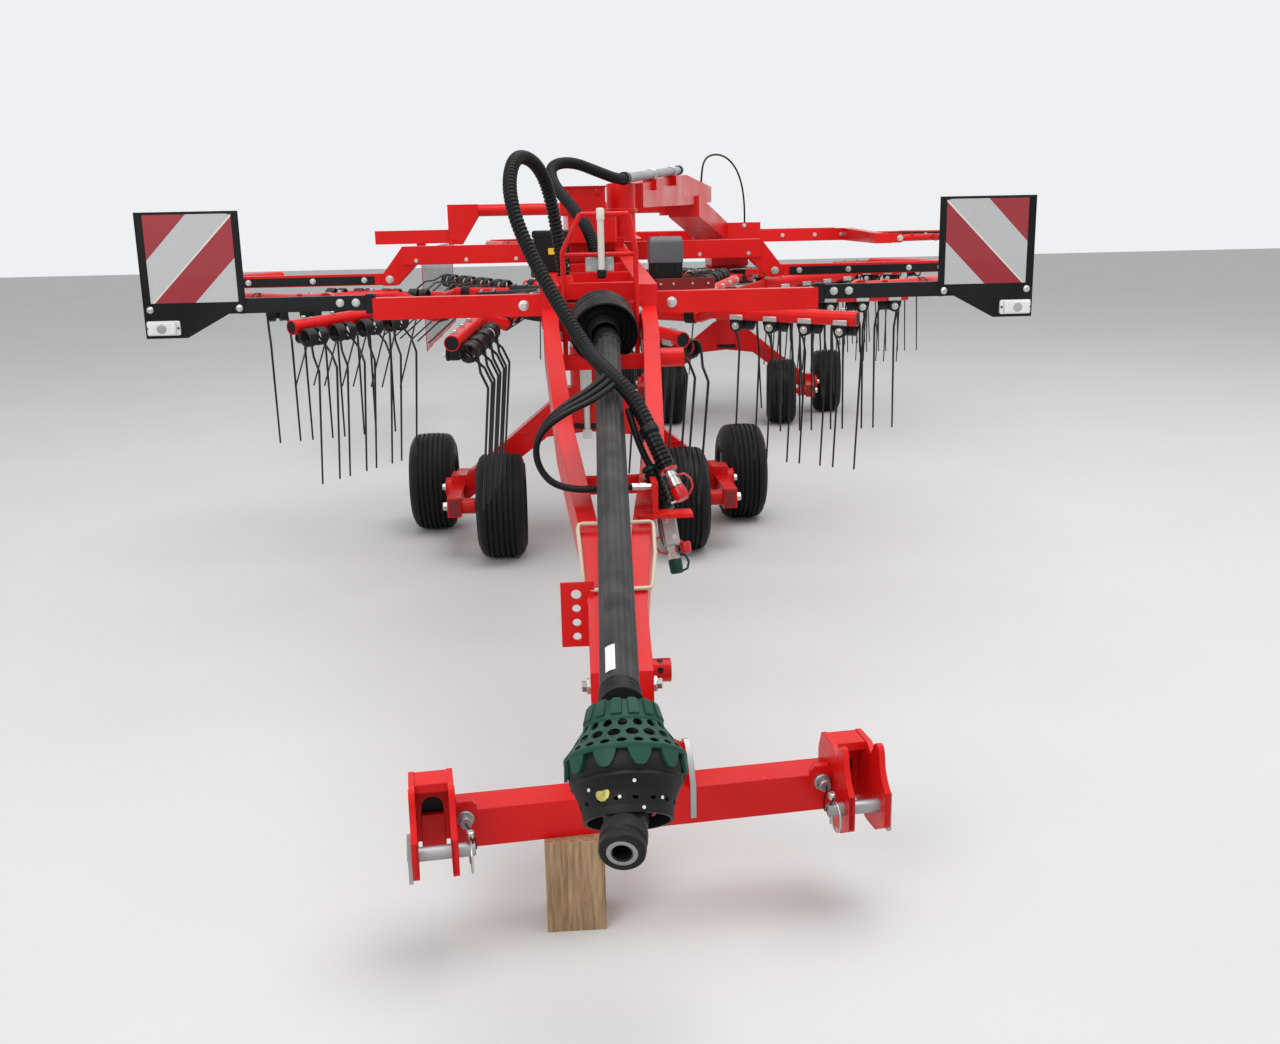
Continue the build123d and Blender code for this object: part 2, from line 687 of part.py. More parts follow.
# One arm's set of double tines, laid along X with the arm's axis at the origin
tine_y, tine_z = tine_tube_shift + coil_shift, tine_tube_rise - coil_drop
with BuildPart() as arm_tines:
    for index in range(tines_per_arm):
        middle = first_tine + index * tine_pitch
        coil_end = Plane(origin=(middle - coil_length / 2, tine_y, tine_z), x_dir=(0, 1, 0), z_dir=(1, 0, 0))
        with BuildSketch(coil_end) as coil:
            RegularPolygon(coil_radius, 8, rotation=-coil_angle)
        extrude(coil.sketch, amount=coil_length)
        for side in (-1, 1):
            flat(Plane(origin=(middle + side * tine_spread / 2, tine_y, tine_z), x_dir=(0, 1, 0), z_dir=(1, 0, 0)),
                 leg_outline(), tine_size)

with BuildPart() as one_arm:
    shift, rise = tine_tube_shift, tine_tube_rise
    round_bar(Vector(socket_end + seat_gap, 0, 0), Vector(bend_start, 0, 0), arm_radius)
    round_bar(Vector(bend_start - 8, 0, 0), Vector(bend_end + 4, shift, rise), arm_radius)
    round_bar(Vector(bend_end - 8, shift, rise), Vector(tine_tube_end, shift, rise), tine_tube_radius)


def lift(azimuth):
    """The roll that the cam gives to an arm at this azimuth."""
    if lift_start < azimuth < lift_full:
        return lift_angle * (azimuth - lift_start) / (lift_full - lift_start)
    if lift_full <= azimuth <= lower_start:
        return lift_angle
    if lower_start < azimuth < lower_end:
        return lift_angle * (lower_end - azimuth) / (lower_end - lower_start)
    return 0


def arm_azimuth(index):
    """The direction of an arm, in degrees from straight ahead towards +X."""
    return first_arm + index * 360 / arm_count


def on_arm(place, index, along):
    """A point on an arm's line, which passes beside the axis."""
    c, s = cos(radians(arm_azimuth(index))), sin(radians(arm_azimuth(index)))
    return place(along * s - arm_offset * c, -along * c - arm_offset * s, 0)


def around(place, pitch, piece):
    """A copy of an arm's piece for each arm of a rotor, rolled by the cam."""
    middle = place(0, 0, 0)
    hub = Pos(middle.X, middle.Y, middle.Z) * Rot(pitch, 0, 0)
    copies = []
    for index in range(arm_count):
        azimuth = arm_azimuth(index)
        line = Rot(0, 0, azimuth - 90) * Pos(0, -arm_offset, 0)
        copies.append(hub * line * Rot(lift(azimuth), 0, 0) * piece.part)
    return copies


for unit, place, pitch in (("front", pitched, rotor_pitch), ("rear", upright, 0)):
    arm_copies, tine_copies = around(place, pitch, one_arm), around(place, pitch, arm_tines)
    axis = Axis(place(0, 0, 0), place(0, 0, 1) - place(0, 0, 0))
    bore = column_radius + running_clearance
    with BuildPart() as rotor_hub:
        turned_ring(
            facing_y(0, place), axis,
            ((bore, hub_low), (190, hub_low), (hub_drum_radius, hub_low + 20), (hub_drum_radius, hub_high - 14),
             (270, hub_high), (bore, hub_high)),
        )
        for index in range(arm_count):
            round_bar(on_arm(place, index, socket_start), on_arm(place, index, socket_end), socket_radius)
    write(rotor_hub, f"rotor_hub_{unit}")
    with BuildPart() as rotor_arms:
        add(arm_copies)
    write(rotor_arms, f"rotor_arms_{unit}")
    with BuildPart() as rotor_tines:
        add(tine_copies)
    write(rotor_tines, f"rotor_tines_{unit}")


def guard(label, place, side, level, front_knuckle):
    """A hoop that runs outside the tine circle, with the bar and knuckles it folds on."""
    hinge = side * guard_hinge_x
    outline = ((868, front_knuckle), (935, front_knuckle), (1150, -1330), (1560, -700), (1700, 0), (1665, 500),
               (1500, 850))
    with BuildPart() as piece:
        bent_tube([place(side * x, y, level) for x, y in outline], guard_tube_radius, 120)
        round_bar(place(hinge, front_knuckle - 25, level), place(hinge, front_knuckle + 25, level), knuckle_radius)
        box_bar(place(hinge, guard_bar_y, level), place(side * 1690, guard_bar_y, level), 50, 50)
        round_bar(place(hinge, guard_bar_y - 25, level), place(hinge, guard_bar_y + 25, level), 27)
        round_bar(place(hinge, -1700, level), place(hinge, 900, level), hinge_pin_radius + running_clearance,
                  Mode.SUBTRACT)
    write(piece, label)


rear_knuckle_y = -1440
for side, side_name in ((-1, "left"), (1, "right")):
    guard(f"guard_front_{side_name}", front, side, guard_z, front_arm_y + 68)
    guard(f"guard_rear_{side_name}", rear, side, rear_guard_z, rear_knuckle_y)

# Rear arm: the boom from the swing bearing to the rear rotor's frame
tube_run = front(*tube_rear) - front(*tube_front)


def below_tube(y):
    """The middle of a seat block under the hose tube at y."""
    share = (y - tube_front[1]) / tube_run.Y
    return front(*tube_front) + tube_run * share - Vector(0, 0, tube_radius + seat_gap + 25)


with BuildPart() as boom:
    lofted_bar(boom_stations, front, facing_y)
    lofted_bar([(*leg_start, 180, 120), (leg_end[0], leg_end[1] - seat_gap, leg_end[2], 200, 120)], front, facing_y)
    box_bar(front(carrier_start, carrier_y, carrier_z), front(660, carrier_y, carrier_z), 100, 100)
    round_bar(front(swing_x, swing_y, swing_low + seat_gap), front(swing_x, swing_y, swing_top), swing_radius)
    box_bar(front(swing_x, swing_y, 1513), front(200, 60, 1528), 100, 90)
    round_bar(
        front(swing_x, swing_y, swing_low - 10), front(swing_x, swing_y, swing_top + 20), 25 + running_clearance,
        Mode.SUBTRACT,
    )
    for y in tube_seats:
        box_bar(below_tube(y - 35), below_tube(y + 35), 64, 50)
    round_bar(front(800, 2370, 1600), front(800, 2370, 1632), 12)
write(boom, "boom")

with BuildPart() as rear_frame:
    box_bar(rear(0, -600, 1300), rear(0, 460, 1300), 300, 96)
    box_bar(rear(0, -190, 1180), rear(0, 190, 1180), 260, 150)
    box_bar(rear(-290, -590, 1325), rear(150, -590, 1325), 20, 150)
    round_bar(rear(100, -220, 1340), rear(100, -220, 1355), 12)
    for side in (-1, 1):
        hinge = side * guard_hinge_x
        box_bar(rear(side * 140, guard_bar_y, 1310), rear(side * beam_end, guard_bar_y, 1310), 100, 80)
        box_bar(rear(side * 140, -560, 1310), rear(side * 780, -560, 1310), 80, 80)
        lofted_bar(
            [(side * 740, -600, 1310, 60, 80), (side * 740, rear_knuckle_y - 50, rear_guard_z, 60, 60)],
            rear, facing_y,
        )
        box_bar(
            rear(side * 740, rear_knuckle_y, rear_guard_z), rear(side * 806, rear_knuckle_y, rear_guard_z), 96, 60,
        )
        for face in (-1, 1):
            flat(
                facing_y(rear_knuckle_y + face * 38, rear),
                (
                    (side * 770, rear_guard_z - 28), (side * 770, rear_guard_z + 28),
                    (side * 870, rear_guard_z + 28), (side * 884, rear_guard_z + 14),
                    (side * 884, rear_guard_z - 14), (side * 870, rear_guard_z - 28),
                ),
                10,
            )
            flat(
                facing_y(guard_bar_y + face * 38, rear),
                (
                    (side * 740, 1272), (side * 740, 1348), (side * beam_end, 1348), (side * 892, rear_guard_z + 24),
                    (side * 892, rear_guard_z - 28), (side * 780, rear_guard_z - 28),
                ),
                10,
            )
        for y in (rear_knuckle_y, guard_bar_y):
            round_bar(rear(hinge, y - 48, rear_guard_z), rear(hinge, y + 48, rear_guard_z), hinge_pin_radius)
    round_bar(rear(0, 0, 1081), rear(0, 0, 1110), 150)
    round_bar(rear(0, 0, 560), rear(0, 0, 1110), column_radius)
    round_bar(rear(0, 0, 720 + seat_gap), upright(0, 0, hub_low - seat_gap), 62)
write(rear_frame, "rear_frame")

with BuildPart() as hose_tube:
    round_bar(front(*tube_front), front(*tube_rear), tube_radius)
write(hose_tube, "hose_tube")

# Swath curtain on its carrier
with BuildPart() as curtain_carrier:
    round_bar(
        front(carrier_start - seat_gap, carrier_y, carrier_z), front(carrier_end, carrier_y, carrier_z),
        carrier_radius,
    )
    for face in (-1, 1):
        flat(
            facing_y(carrier_y + face * 38, front),
            ((-735, 1310), (-660, 1310), (-560, 1465), (-560, 1535), (-735, 1535)), 12,
        )
    round_bar(front(fold_x, carrier_y - 50, fold_z), front(fold_x, carrier_y + 50, fold_z), hinge_pin_radius)
write(curtain_carrier, "curtain_carrier")

with BuildPart() as curtain_rail:
    box_bar(front(fold_x, carrier_y, fold_z + 12), front(-1160, carrier_y, fold_z + 12), 54, 76)
    round_bar(front(fold_x, carrier_y - 27, fold_z), front(fold_x, carrier_y + 27, fold_z), 28)
    round_bar(
        front(fold_x, carrier_y - 60, fold_z), front(fold_x, carrier_y + 60, fold_z),
        hinge_pin_radius + running_clearance, Mode.SUBTRACT,
    )
    box_bar(front(curtain_x, carrier_y, 1260), front(curtain_x, carrier_y, 1330), 50, 40)
    round_bar(front(curtain_x, curtain_front, curtain_z), front(curtain_x, curtain_rear, curtain_z), 17)
write(curtain_rail, "curtain_rail")

sheet_z = curtain_z - 17.5 - curtain_height / 2
with BuildPart() as curtain_sheet:
    box_bar(front(curtain_x, curtain_front, sheet_z), front(curtain_x, curtain_rear, sheet_z), 4, curtain_height)
write(curtain_sheet, "curtain_sheet")

# Hoses: the sleeved bundle and its branch, three strands looped round the shaft, the arch and the rear hose
cord("hose_bundle", hose_bundle_route, bundle_radius)
cord("hose_branch", hose_branch_route, branch_radius)
for strand in range(3):
    route = []
    for (x, y, z), (step_x, step_y, step_z) in zip(strand_route, strand_steps):
        route.append((x + step_x * strand, y + step_y * strand, z + step_z * strand))
    cord(f"hose_strand_{strand + 1}", route, strand_radius)
cord("hose_arch", hose_arch_route, arch_hose_radius)
cord("hose_rear", hose_rear_route, rear_hose_radius)


def coupler(route, lengths_and_radii):
    """Round steps that carry on from the end of a hose."""
    end, before = front(*route[-1]), front(*route[-2])
    onward = (end - before).normalized()
    start = end + onward * seat_gap
    for length, radius in lengths_and_radii:
        round_bar(start, start + onward * length, radius)
        start += onward * length


with BuildPart() as hose_couplers:
    coupler(hose_bundle_route, ((70, 20), (60, 16), (32, 20)))
    coupler(hose_branch_route, ((20, 14), (50, 18), (36, 20)))
    for strand in range(3):
        x, y, z = strand_route[-1]
        stub_y, stub_z = y + strand_steps[-1][1] * strand, z + strand_steps[-1][2] * strand
        round_bar(front(x + seat_gap * 2, stub_y, stub_z), front(85 - seat_gap, stub_y, stub_z), 9)
write(hose_couplers, "hose_couplers")
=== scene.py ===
import json
import math

import bmesh
import bpy
from mathutils import Matrix, Vector


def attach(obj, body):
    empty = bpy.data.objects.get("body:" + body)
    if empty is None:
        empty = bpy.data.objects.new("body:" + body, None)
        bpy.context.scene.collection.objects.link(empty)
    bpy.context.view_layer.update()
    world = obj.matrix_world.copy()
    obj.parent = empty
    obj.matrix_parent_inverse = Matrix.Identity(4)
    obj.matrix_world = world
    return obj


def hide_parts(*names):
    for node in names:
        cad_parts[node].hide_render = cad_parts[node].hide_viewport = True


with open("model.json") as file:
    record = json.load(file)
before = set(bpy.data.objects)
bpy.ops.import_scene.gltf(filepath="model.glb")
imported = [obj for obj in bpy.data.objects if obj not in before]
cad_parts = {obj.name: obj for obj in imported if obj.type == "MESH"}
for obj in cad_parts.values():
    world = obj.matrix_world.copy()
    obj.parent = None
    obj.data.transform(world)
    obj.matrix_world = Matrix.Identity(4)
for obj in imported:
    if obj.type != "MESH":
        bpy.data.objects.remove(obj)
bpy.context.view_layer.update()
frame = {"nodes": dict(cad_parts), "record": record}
scene = bpy.context.scene

# Places are given in metres from a rotor's axis at the ground, as in the part's own layout
ROTOR_OFFSET = 1.110
ROTOR_SPACING = 3.500
FRONT_AXIS_Y = -0.530
CARRIAGE_TURN = -9.5
HEADSTOCK_TURN = 6.8
NOSE_Y = -3.141

FRONT = Matrix.Translation((-ROTOR_OFFSET / 2, FRONT_AXIS_Y, 0))
REAR = Matrix.Translation((ROTOR_OFFSET / 2, FRONT_AXIS_Y + ROTOR_SPACING, 0))
STEERED = REAR @ Matrix.Rotation(math.radians(CARRIAGE_TURN), 4, "Z")
NOSE = Matrix.Translation((0, NOSE_Y, 0))
HITCHED = FRONT @ NOSE @ Matrix.Rotation(math.radians(HEADSTOCK_TURN), 4, "Z") @ NOSE.inverted()
FRONT_ARM_Z, REAR_ARM_Z = 1.078, 1.040
ROTOR_PITCH = 3.95
PITCH = Matrix.Rotation(math.radians(ROTOR_PITCH), 4, "X")
PITCHED = FRONT @ Matrix.Translation((0, 0, FRONT_ARM_Z)) @ PITCH
UPRIGHT = REAR @ Matrix.Translation((0, 0, REAR_ARM_Z))

# Camera at the photograph's place, from the wheels, panels and hitch pins
CAMERA_PLACE = (-0.693, -6.165, 1.41)
CAMERA_TURN, CAMERA_PITCH, CAMERA_ROLL = 0.064, 0.235, -0.021
CAMERA_LENS = 1248.6 / 1280 * 36
camera_data = bpy.data.cameras.new("camera")
camera_data.lens, camera_data.sensor_width = CAMERA_LENS, 36
camera = bpy.data.objects.new("camera", camera_data)
camera.matrix_world = (
    Matrix.Translation(CAMERA_PLACE)
    @ Matrix.Rotation(-CAMERA_TURN, 4, "Z")
    @ Matrix.Rotation(math.pi / 2 - CAMERA_PITCH, 4, "X")
    @ Matrix.Rotation(CAMERA_ROLL, 4, "Z")
)
scene.collection.objects.link(camera)
scene.camera = camera

# Light and floor
scene.view_settings.view_transform = "Standard"


def add_area(name, place, target, size, power):
    """A large soft lamp that faces the target."""
    data = bpy.data.lights.new(name, "AREA")
    data.shape, data.size, data.energy = "DISK", size, power
    lamp = bpy.data.objects.new(name, data)
    lamp.location = place
    lamp.rotation_mode = "QUATERNION"
    lamp.rotation_quaternion = (Vector(target) - Vector(place)).to_track_quat("-Z", "Y")
    scene.collection.objects.link(lamp)


add_area("sky_lamp", (1.5, -2.0, 9.0), (0, 0, 0.5), 9.0, 620)
add_area("front_lamp", (-4.5, -9.0, 5.5), (-0.5, -1.5, 0.6), 5.0, 260)


class Tree:
    """The nodes and links of a world or of a material."""

    def __init__(self, owner):
        owner.use_nodes = True
        self.nodes, self.links = owner.node_tree.nodes, owner.node_tree.links

    def put(self, node, values):
        """Gives each input of a node its value: a number, a colour or a socket."""
        for key, value in values.items():
            if isinstance(value, bpy.types.NodeSocket):
                self.links.new(value, node.inputs[key])
            else:
                node.inputs[key].default_value = value

    def add(self, kind, values=None, **settings):
        """A new node with its settings and the values of its inputs."""
        node = self.nodes.new("ShaderNode" + kind)
        for key, value in settings.items():
            setattr(node, key, value)
        self.put(node, values or {})
        return node

    def worked(self, operation, *values):
        """A sum of one or two values."""
        return self.add("Math", dict(enumerate(values)), operation=operation).outputs[0]

    def noise(self, scale, detail, stretch=None):
        """A noise in the object's own metres."""
        place = self.add("TexCoord").outputs["Object"]
        if stretch:
            place = self.add("Mapping", {"Vector": place, "Scale": stretch}).outputs["Vector"]
        return self.add("TexNoise", {"Vector": place, "Scale": scale, "Detail": detail}).outputs[0]

    def spread(self, source, low, high, start=0.35, end=0.65):
        """The source's value spread from low to high."""
        return self.add("MapRange", {"Value": source, "From Min": start, "From Max": end, "To Min": low,
            "To Max": high}).outputs[0]

    def mixed(self, factor, first, second):
        """Two colours mixed by a factor."""
        first, second = ((*value, 1) if isinstance(value, tuple) else value for value in (first, second))
        return self.add("Mix", {0: factor, 6: first, 7: second}, data_type="RGBA").outputs[2]

    def bumped(self, surface, source, strength, distance, edge=0.0):
        """Bumps from the source, over edges that are rounded by the given radius."""
        bump = self.add("Bump", {"Strength": strength, "Distance": distance, "Height": source})
        if edge:
            self.put(bump, {"Normal": self.add("Bevel", {"Radius": edge}, samples=4).outputs[0]})
        self.put(surface, {"Normal": bump.outputs[0]})


# The world looks brighter to the camera, in mirrors and through glass than it lights the machine
LIT_STRENGTH, SEEN_STRENGTH = 0.62, 0.92
world = bpy.data.worlds.new("world")
scene.world = world
world_tree = Tree(world)
rays = world_tree.add("LightPath").outputs
seen = world_tree.worked("MAXIMUM", rays["Is Camera Ray"], rays["Is Transmission Ray"])
seen = world_tree.worked("MAXIMUM", seen, rays["Is Glossy Ray"])
strength = world_tree.spread(seen, LIT_STRENGTH, SEEN_STRENGTH, 0, 1)
world_tree.put(world_tree.nodes["Background"], {"Strength": strength, "Color": (0.93, 0.95, 0.97, 1)})

floor_mesh = bpy.data.meshes.new("floor")
floor_mesh.from_pydata([(-40, -40, 0), (40, -40, 0), (40, 40, 0), (-40, 40, 0)], [], [(0, 1, 2, 3)])
floor = bpy.data.objects.new("floor", floor_mesh)
scene.collection.objects.link(floor)

# Materials
DUST, GRAIN_DEPTH, CLOTH_CELL, FILM_CELLS = (0.33, 0.30, 0.26), 0.0002, 0.006, 190


def shader(name, colour, roughness, metallic=0.0):
    """A material with its tree and its principled shader."""
    made = bpy.data.materials.new(name)
    tree = Tree(made)
    surface = tree.nodes["Principled BSDF"]
    tree.put(surface, {"Base Color": (*colour, 1), "Roughness": roughness, "Metallic": metallic})
    return made, tree, surface


def finish(name, colour, roughness, metallic=0.0, vary=0.12, dust=0.0, grain=420, edge=0.0, coat=0.0,
        gloss=0.5):
    """Paint, plastic, rubber or metal with mottled tone and gloss, fine grain and settled dust."""
    made, tree, surface = shader(name, colour, roughness, metallic)
    broad, fine = tree.noise(3.1, 6), tree.noise(grain, 3)
    darker = tuple(c * (1 - vary) for c in colour)
    lighter = tuple(min(1, c * (1 + vary) + 0.004) for c in colour)
    tone = tree.mixed(tree.spread(broad, 0, 1), darker, lighter)
    if dust:
        up = tree.add("SeparateXYZ", {0: tree.add("NewGeometry").outputs["Normal"]}).outputs["Z"]
        patches = tree.spread(tree.noise(14, 8), 0.2, 1, 0.38, 0.66)
        lying = tree.worked("MULTIPLY", tree.spread(up, 0, dust, 0.2, 0.95), patches)
        tone = tree.mixed(lying, tone, DUST)
    sheen = tree.spread(broad, roughness * 0.8, min(1, roughness * 1.3))
    tree.put(surface, {"Base Color": tone, "Roughness": sheen, "Specular IOR Level": gloss})
    tree.bumped(surface, fine, 0.25, GRAIN_DEPTH, edge)
    if coat:
        tree.put(surface, {"Coat Weight": coat, "Coat Roughness": 0.08})
    return made


red_paint = finish("red_paint", (0.68, 0.0055, 0.0055), 0.30, vary=0.07, dust=0.02, edge=0.0035, coat=0.05,
    gloss=0.20, grain=260)
dark_red = finish("dark_red", (0.20, 0.006, 0.008), 0.35, vary=0.12, dust=0.10, edge=0.003, coat=0.1,
    gloss=0.35, grain=260)
black_paint = finish("black_paint", (0.008, 0.009, 0.011), 0.36, vary=0.2, dust=0.03, edge=0.003, gloss=0.17)
black_plastic = finish("black_plastic", (0.006, 0.0062, 0.0066), 0.42, vary=0.25, dust=0.04, gloss=0.17,
    grain=700)
guard_plastic = finish("guard_plastic", (0.018, 0.0185, 0.020), 0.45, vary=0.3, dust=0.14, gloss=0.17,
    grain=500)
green_plastic = finish("green_plastic", (0.006, 0.052, 0.034), 0.42, vary=0.2, dust=0.07, gloss=0.17,
    grain=500)
rubber = finish("rubber", (0.0055, 0.0055, 0.006), 0.55, vary=0.25, dust=0.04, gloss=0.17, grain=600)
hose_rubber = finish("hose_rubber", (0.0035, 0.0035, 0.004), 0.42, vary=0.2, dust=0.02, gloss=0.17,
    grain=800)
zinc = finish("zinc", (0.56, 0.56, 0.53), 0.36, metallic=0.9, vary=0.15, grain=300)
galvanised = finish("galvanised", (0.42, 0.43, 0.43), 0.5, metallic=0.8, vary=0.2, dust=0.1, grain=120)
bare_steel = finish("bare_steel", (0.30, 0.29, 0.28), 0.3, metallic=1.0, vary=0.2, grain=200)
spring_steel = finish("spring_steel", (0.012, 0.0115, 0.0115), 0.36, metallic=0.2, vary=0.25, dust=0.06,
    gloss=0.35, grain=500)
grey_plastic = finish("grey_plastic", (0.30, 0.31, 0.32), 0.45, vary=0.25, dust=0.1, grain=300)
dark_grey = finish("dark_grey", (0.075, 0.080, 0.088), 0.4, vary=0.2, dust=0.1, grain=400)
pale_plastic = finish("pale_plastic", (0.72, 0.69, 0.60), 0.4, vary=0.06, dust=0.05, grain=300)
white_plastic = finish("white_plastic", (0.80, 0.80, 0.78), 0.4, vary=0.05, grain=300)
beige_steel = finish("beige_steel", (0.58, 0.49, 0.36), 0.4, metallic=0.2, vary=0.1, grain=300)
yellow_label = finish("yellow_label", (0.80, 0.55, 0.02), 0.4, vary=0.06, grain=200)
brass = finish("brass", (0.42, 0.36, 0.10), 0.4, metallic=0.4, vary=0.25, grain=300)
red_plastic = finish("red_plastic", (0.56, 0.010, 0.014), 0.33, vary=0.08, gloss=0.4, grain=300)
rim_paint = finish("rim_paint", (0.60, 0.60, 0.58), 0.4, metallic=0.3, vary=0.1, dust=0.2, grain=300)


def wood():
    """Sawn, weathered softwood with its grain upright."""
    made, tree, surface = shader("wood", (0.4, 0.27, 0.15), 0.75)
    grain, knots = tree.noise(9, 8, stretch=(14, 14, 1.2)), tree.noise(14, 3)
    tone = tree.mixed(tree.spread(grain, 0, 1, 0.3, 0.7), (0.44, 0.29, 0.16), (0.20, 0.115, 0.055))
    tone = tree.mixed(tree.spread(knots, 0, 0.7, 0.62, 0.74), tone, (0.10, 0.055, 0.03))
    tree.put(surface, {"Base Color": tone})
    tree.bumped(surface, grain, 0.6, 0.002)
    return made


def honeycomb(name, colour, painted_glint):
    """Retroreflective film with its fine cells, whose edges are lighter in a painted glint colour."""
    made, tree, surface = shader(name, colour, 0.35)
    place = tree.add("TexCoord").outputs["Object"]
    cells = tree.add("TexVoronoi", {"Vector": place, "Scale": FILM_CELLS, "Randomness": 0.25},
        feature="DISTANCE_TO_EDGE").outputs["Distance"]
    # The film's own cell pattern, with its edges mixed towards the painted glint colour
    tone = tree.mixed(tree.spread(cells, 1, 0, 0.0, 0.12), colour, painted_glint)
    tree.put(surface, {"Base Color": tone, "Coat Weight": 0.5})
    return made


def mesh_cloth():
    """Coated open mesh, seen through between its threads."""
    made, tree, surface = shader("mesh_cloth", (0.30, 0.32, 0.33), 0.7)
    split = tree.add("SeparateXYZ", {0: tree.add("TexCoord").outputs["Object"]}).outputs
    holes = []
    for axis in ("Y", "Z"):
        wave = tree.worked("MULTIPLY", split[axis], 2 * math.pi / CLOTH_CELL)
        holes.append(tree.spread(tree.worked("SINE", wave), 0, 1, 0.0, 0.4))
    threads = tree.spread(tree.worked("MULTIPLY", *holes), 1, 0.15, 0, 1)
    tone = tree.mixed(tree.noise(2.5, 5), (0.22, 0.24, 0.25), (0.38, 0.40, 0.41))
    tree.put(surface, {"Alpha": threads, "Base Color": tone})
    return made


def floor_finish():
    """Pale plain floor."""
    made, tree, surface = shader("floor_finish", (0.62, 0.62, 0.61), 0.8)
    tree.put(surface, {"Base Color": tree.mixed(tree.noise(0.8, 6), (0.60, 0.60, 0.59), (0.66, 0.66, 0.65))})
    return made


wood_grain = wood()
# The third colour of each film is the painted glint on its cell edges
white_film = honeycomb("white_film", (0.44, 0.45, 0.46), (0.66, 0.67, 0.67))
red_film = honeycomb("red_film", (0.30, 0.006, 0.018), (0.36, 0.012, 0.025))
curtain_mesh = mesh_cloth()
floor_mesh.materials.append(floor_finish())

# The finish of each node that comes from the frame as it is
SLOT_FINISH = {"red_paint": red_paint, "black_paint": black_paint, "zinc": zinc, "galvanised": galvanised,
    "wood": wood_grain, "spring_steel": spring_steel, "tyre": rubber, "rim_paint": rim_paint,
    "black_plastic": black_plastic, "coupler_red": red_plastic, "green_plastic": green_plastic,
    "hose_black": hose_rubber, "panel_white": black_plastic, "lamp": white_plastic, "mesh": curtain_mesh,
    "grey_plastic": grey_plastic, "white_plastic": white_plastic}
node_slot = {entry["node"]: entry["material_slot"] for entry in frame["record"]["subparts"]}
for name, node in frame["nodes"].items():
    node.data.materials.clear()
    node.data.materials.append(SLOT_FINISH[node_slot[name]])
    node.data.set_sharp_from_angle(angle=math.radians(32))
    for face in node.data.polygons:
        face.use_smooth = True


# Mesh tools
SIDES = ((-1, "left"), (1, "right"))
X, Y, Z = Vector((1, 0, 0)), Vector((0, 1, 0)), Vector((0, 0, 1))


def mm(*points):
    """Points given in millimetres, in metres."""
    return [tuple(number / 1000 for number in point) for point in points]


def capped(radius, straight, top_radius, height):
    """The open profile of a cap, in millimetres: a straight wall, a slope and a flat top."""
    return mm((0, radius), (straight, radius), (height, top_radius), (height, 0))


def wall(start, end, inner, outer):
    """The closed profile of a ring, in millimetres."""
    return mm((start, inner), (start, outer), (end, outer), (end, inner))


def oblong(half_width, half_height):
    """The outline of an upright rectangle about its middle."""
    return [(-half_width, -half_height), (half_width, -half_height), (half_width, half_height),
        (-half_width, half_height)]


def across_of(axis):
    """The two directions square to an axis."""
    across = axis.orthogonal().normalized()
    return across, axis.cross(across)


def bent_line(ends, steps, first=0):
    """Points of the line that leaves the first end towards the second and comes to the third."""
    start, bend, end = ends
    line = []
    for k in range(first, steps + 1):
        t = k / steps
        line.append(start * (1 - t) ** 2 + bend * 2 * t * (1 - t) + end * t * t)
    return line


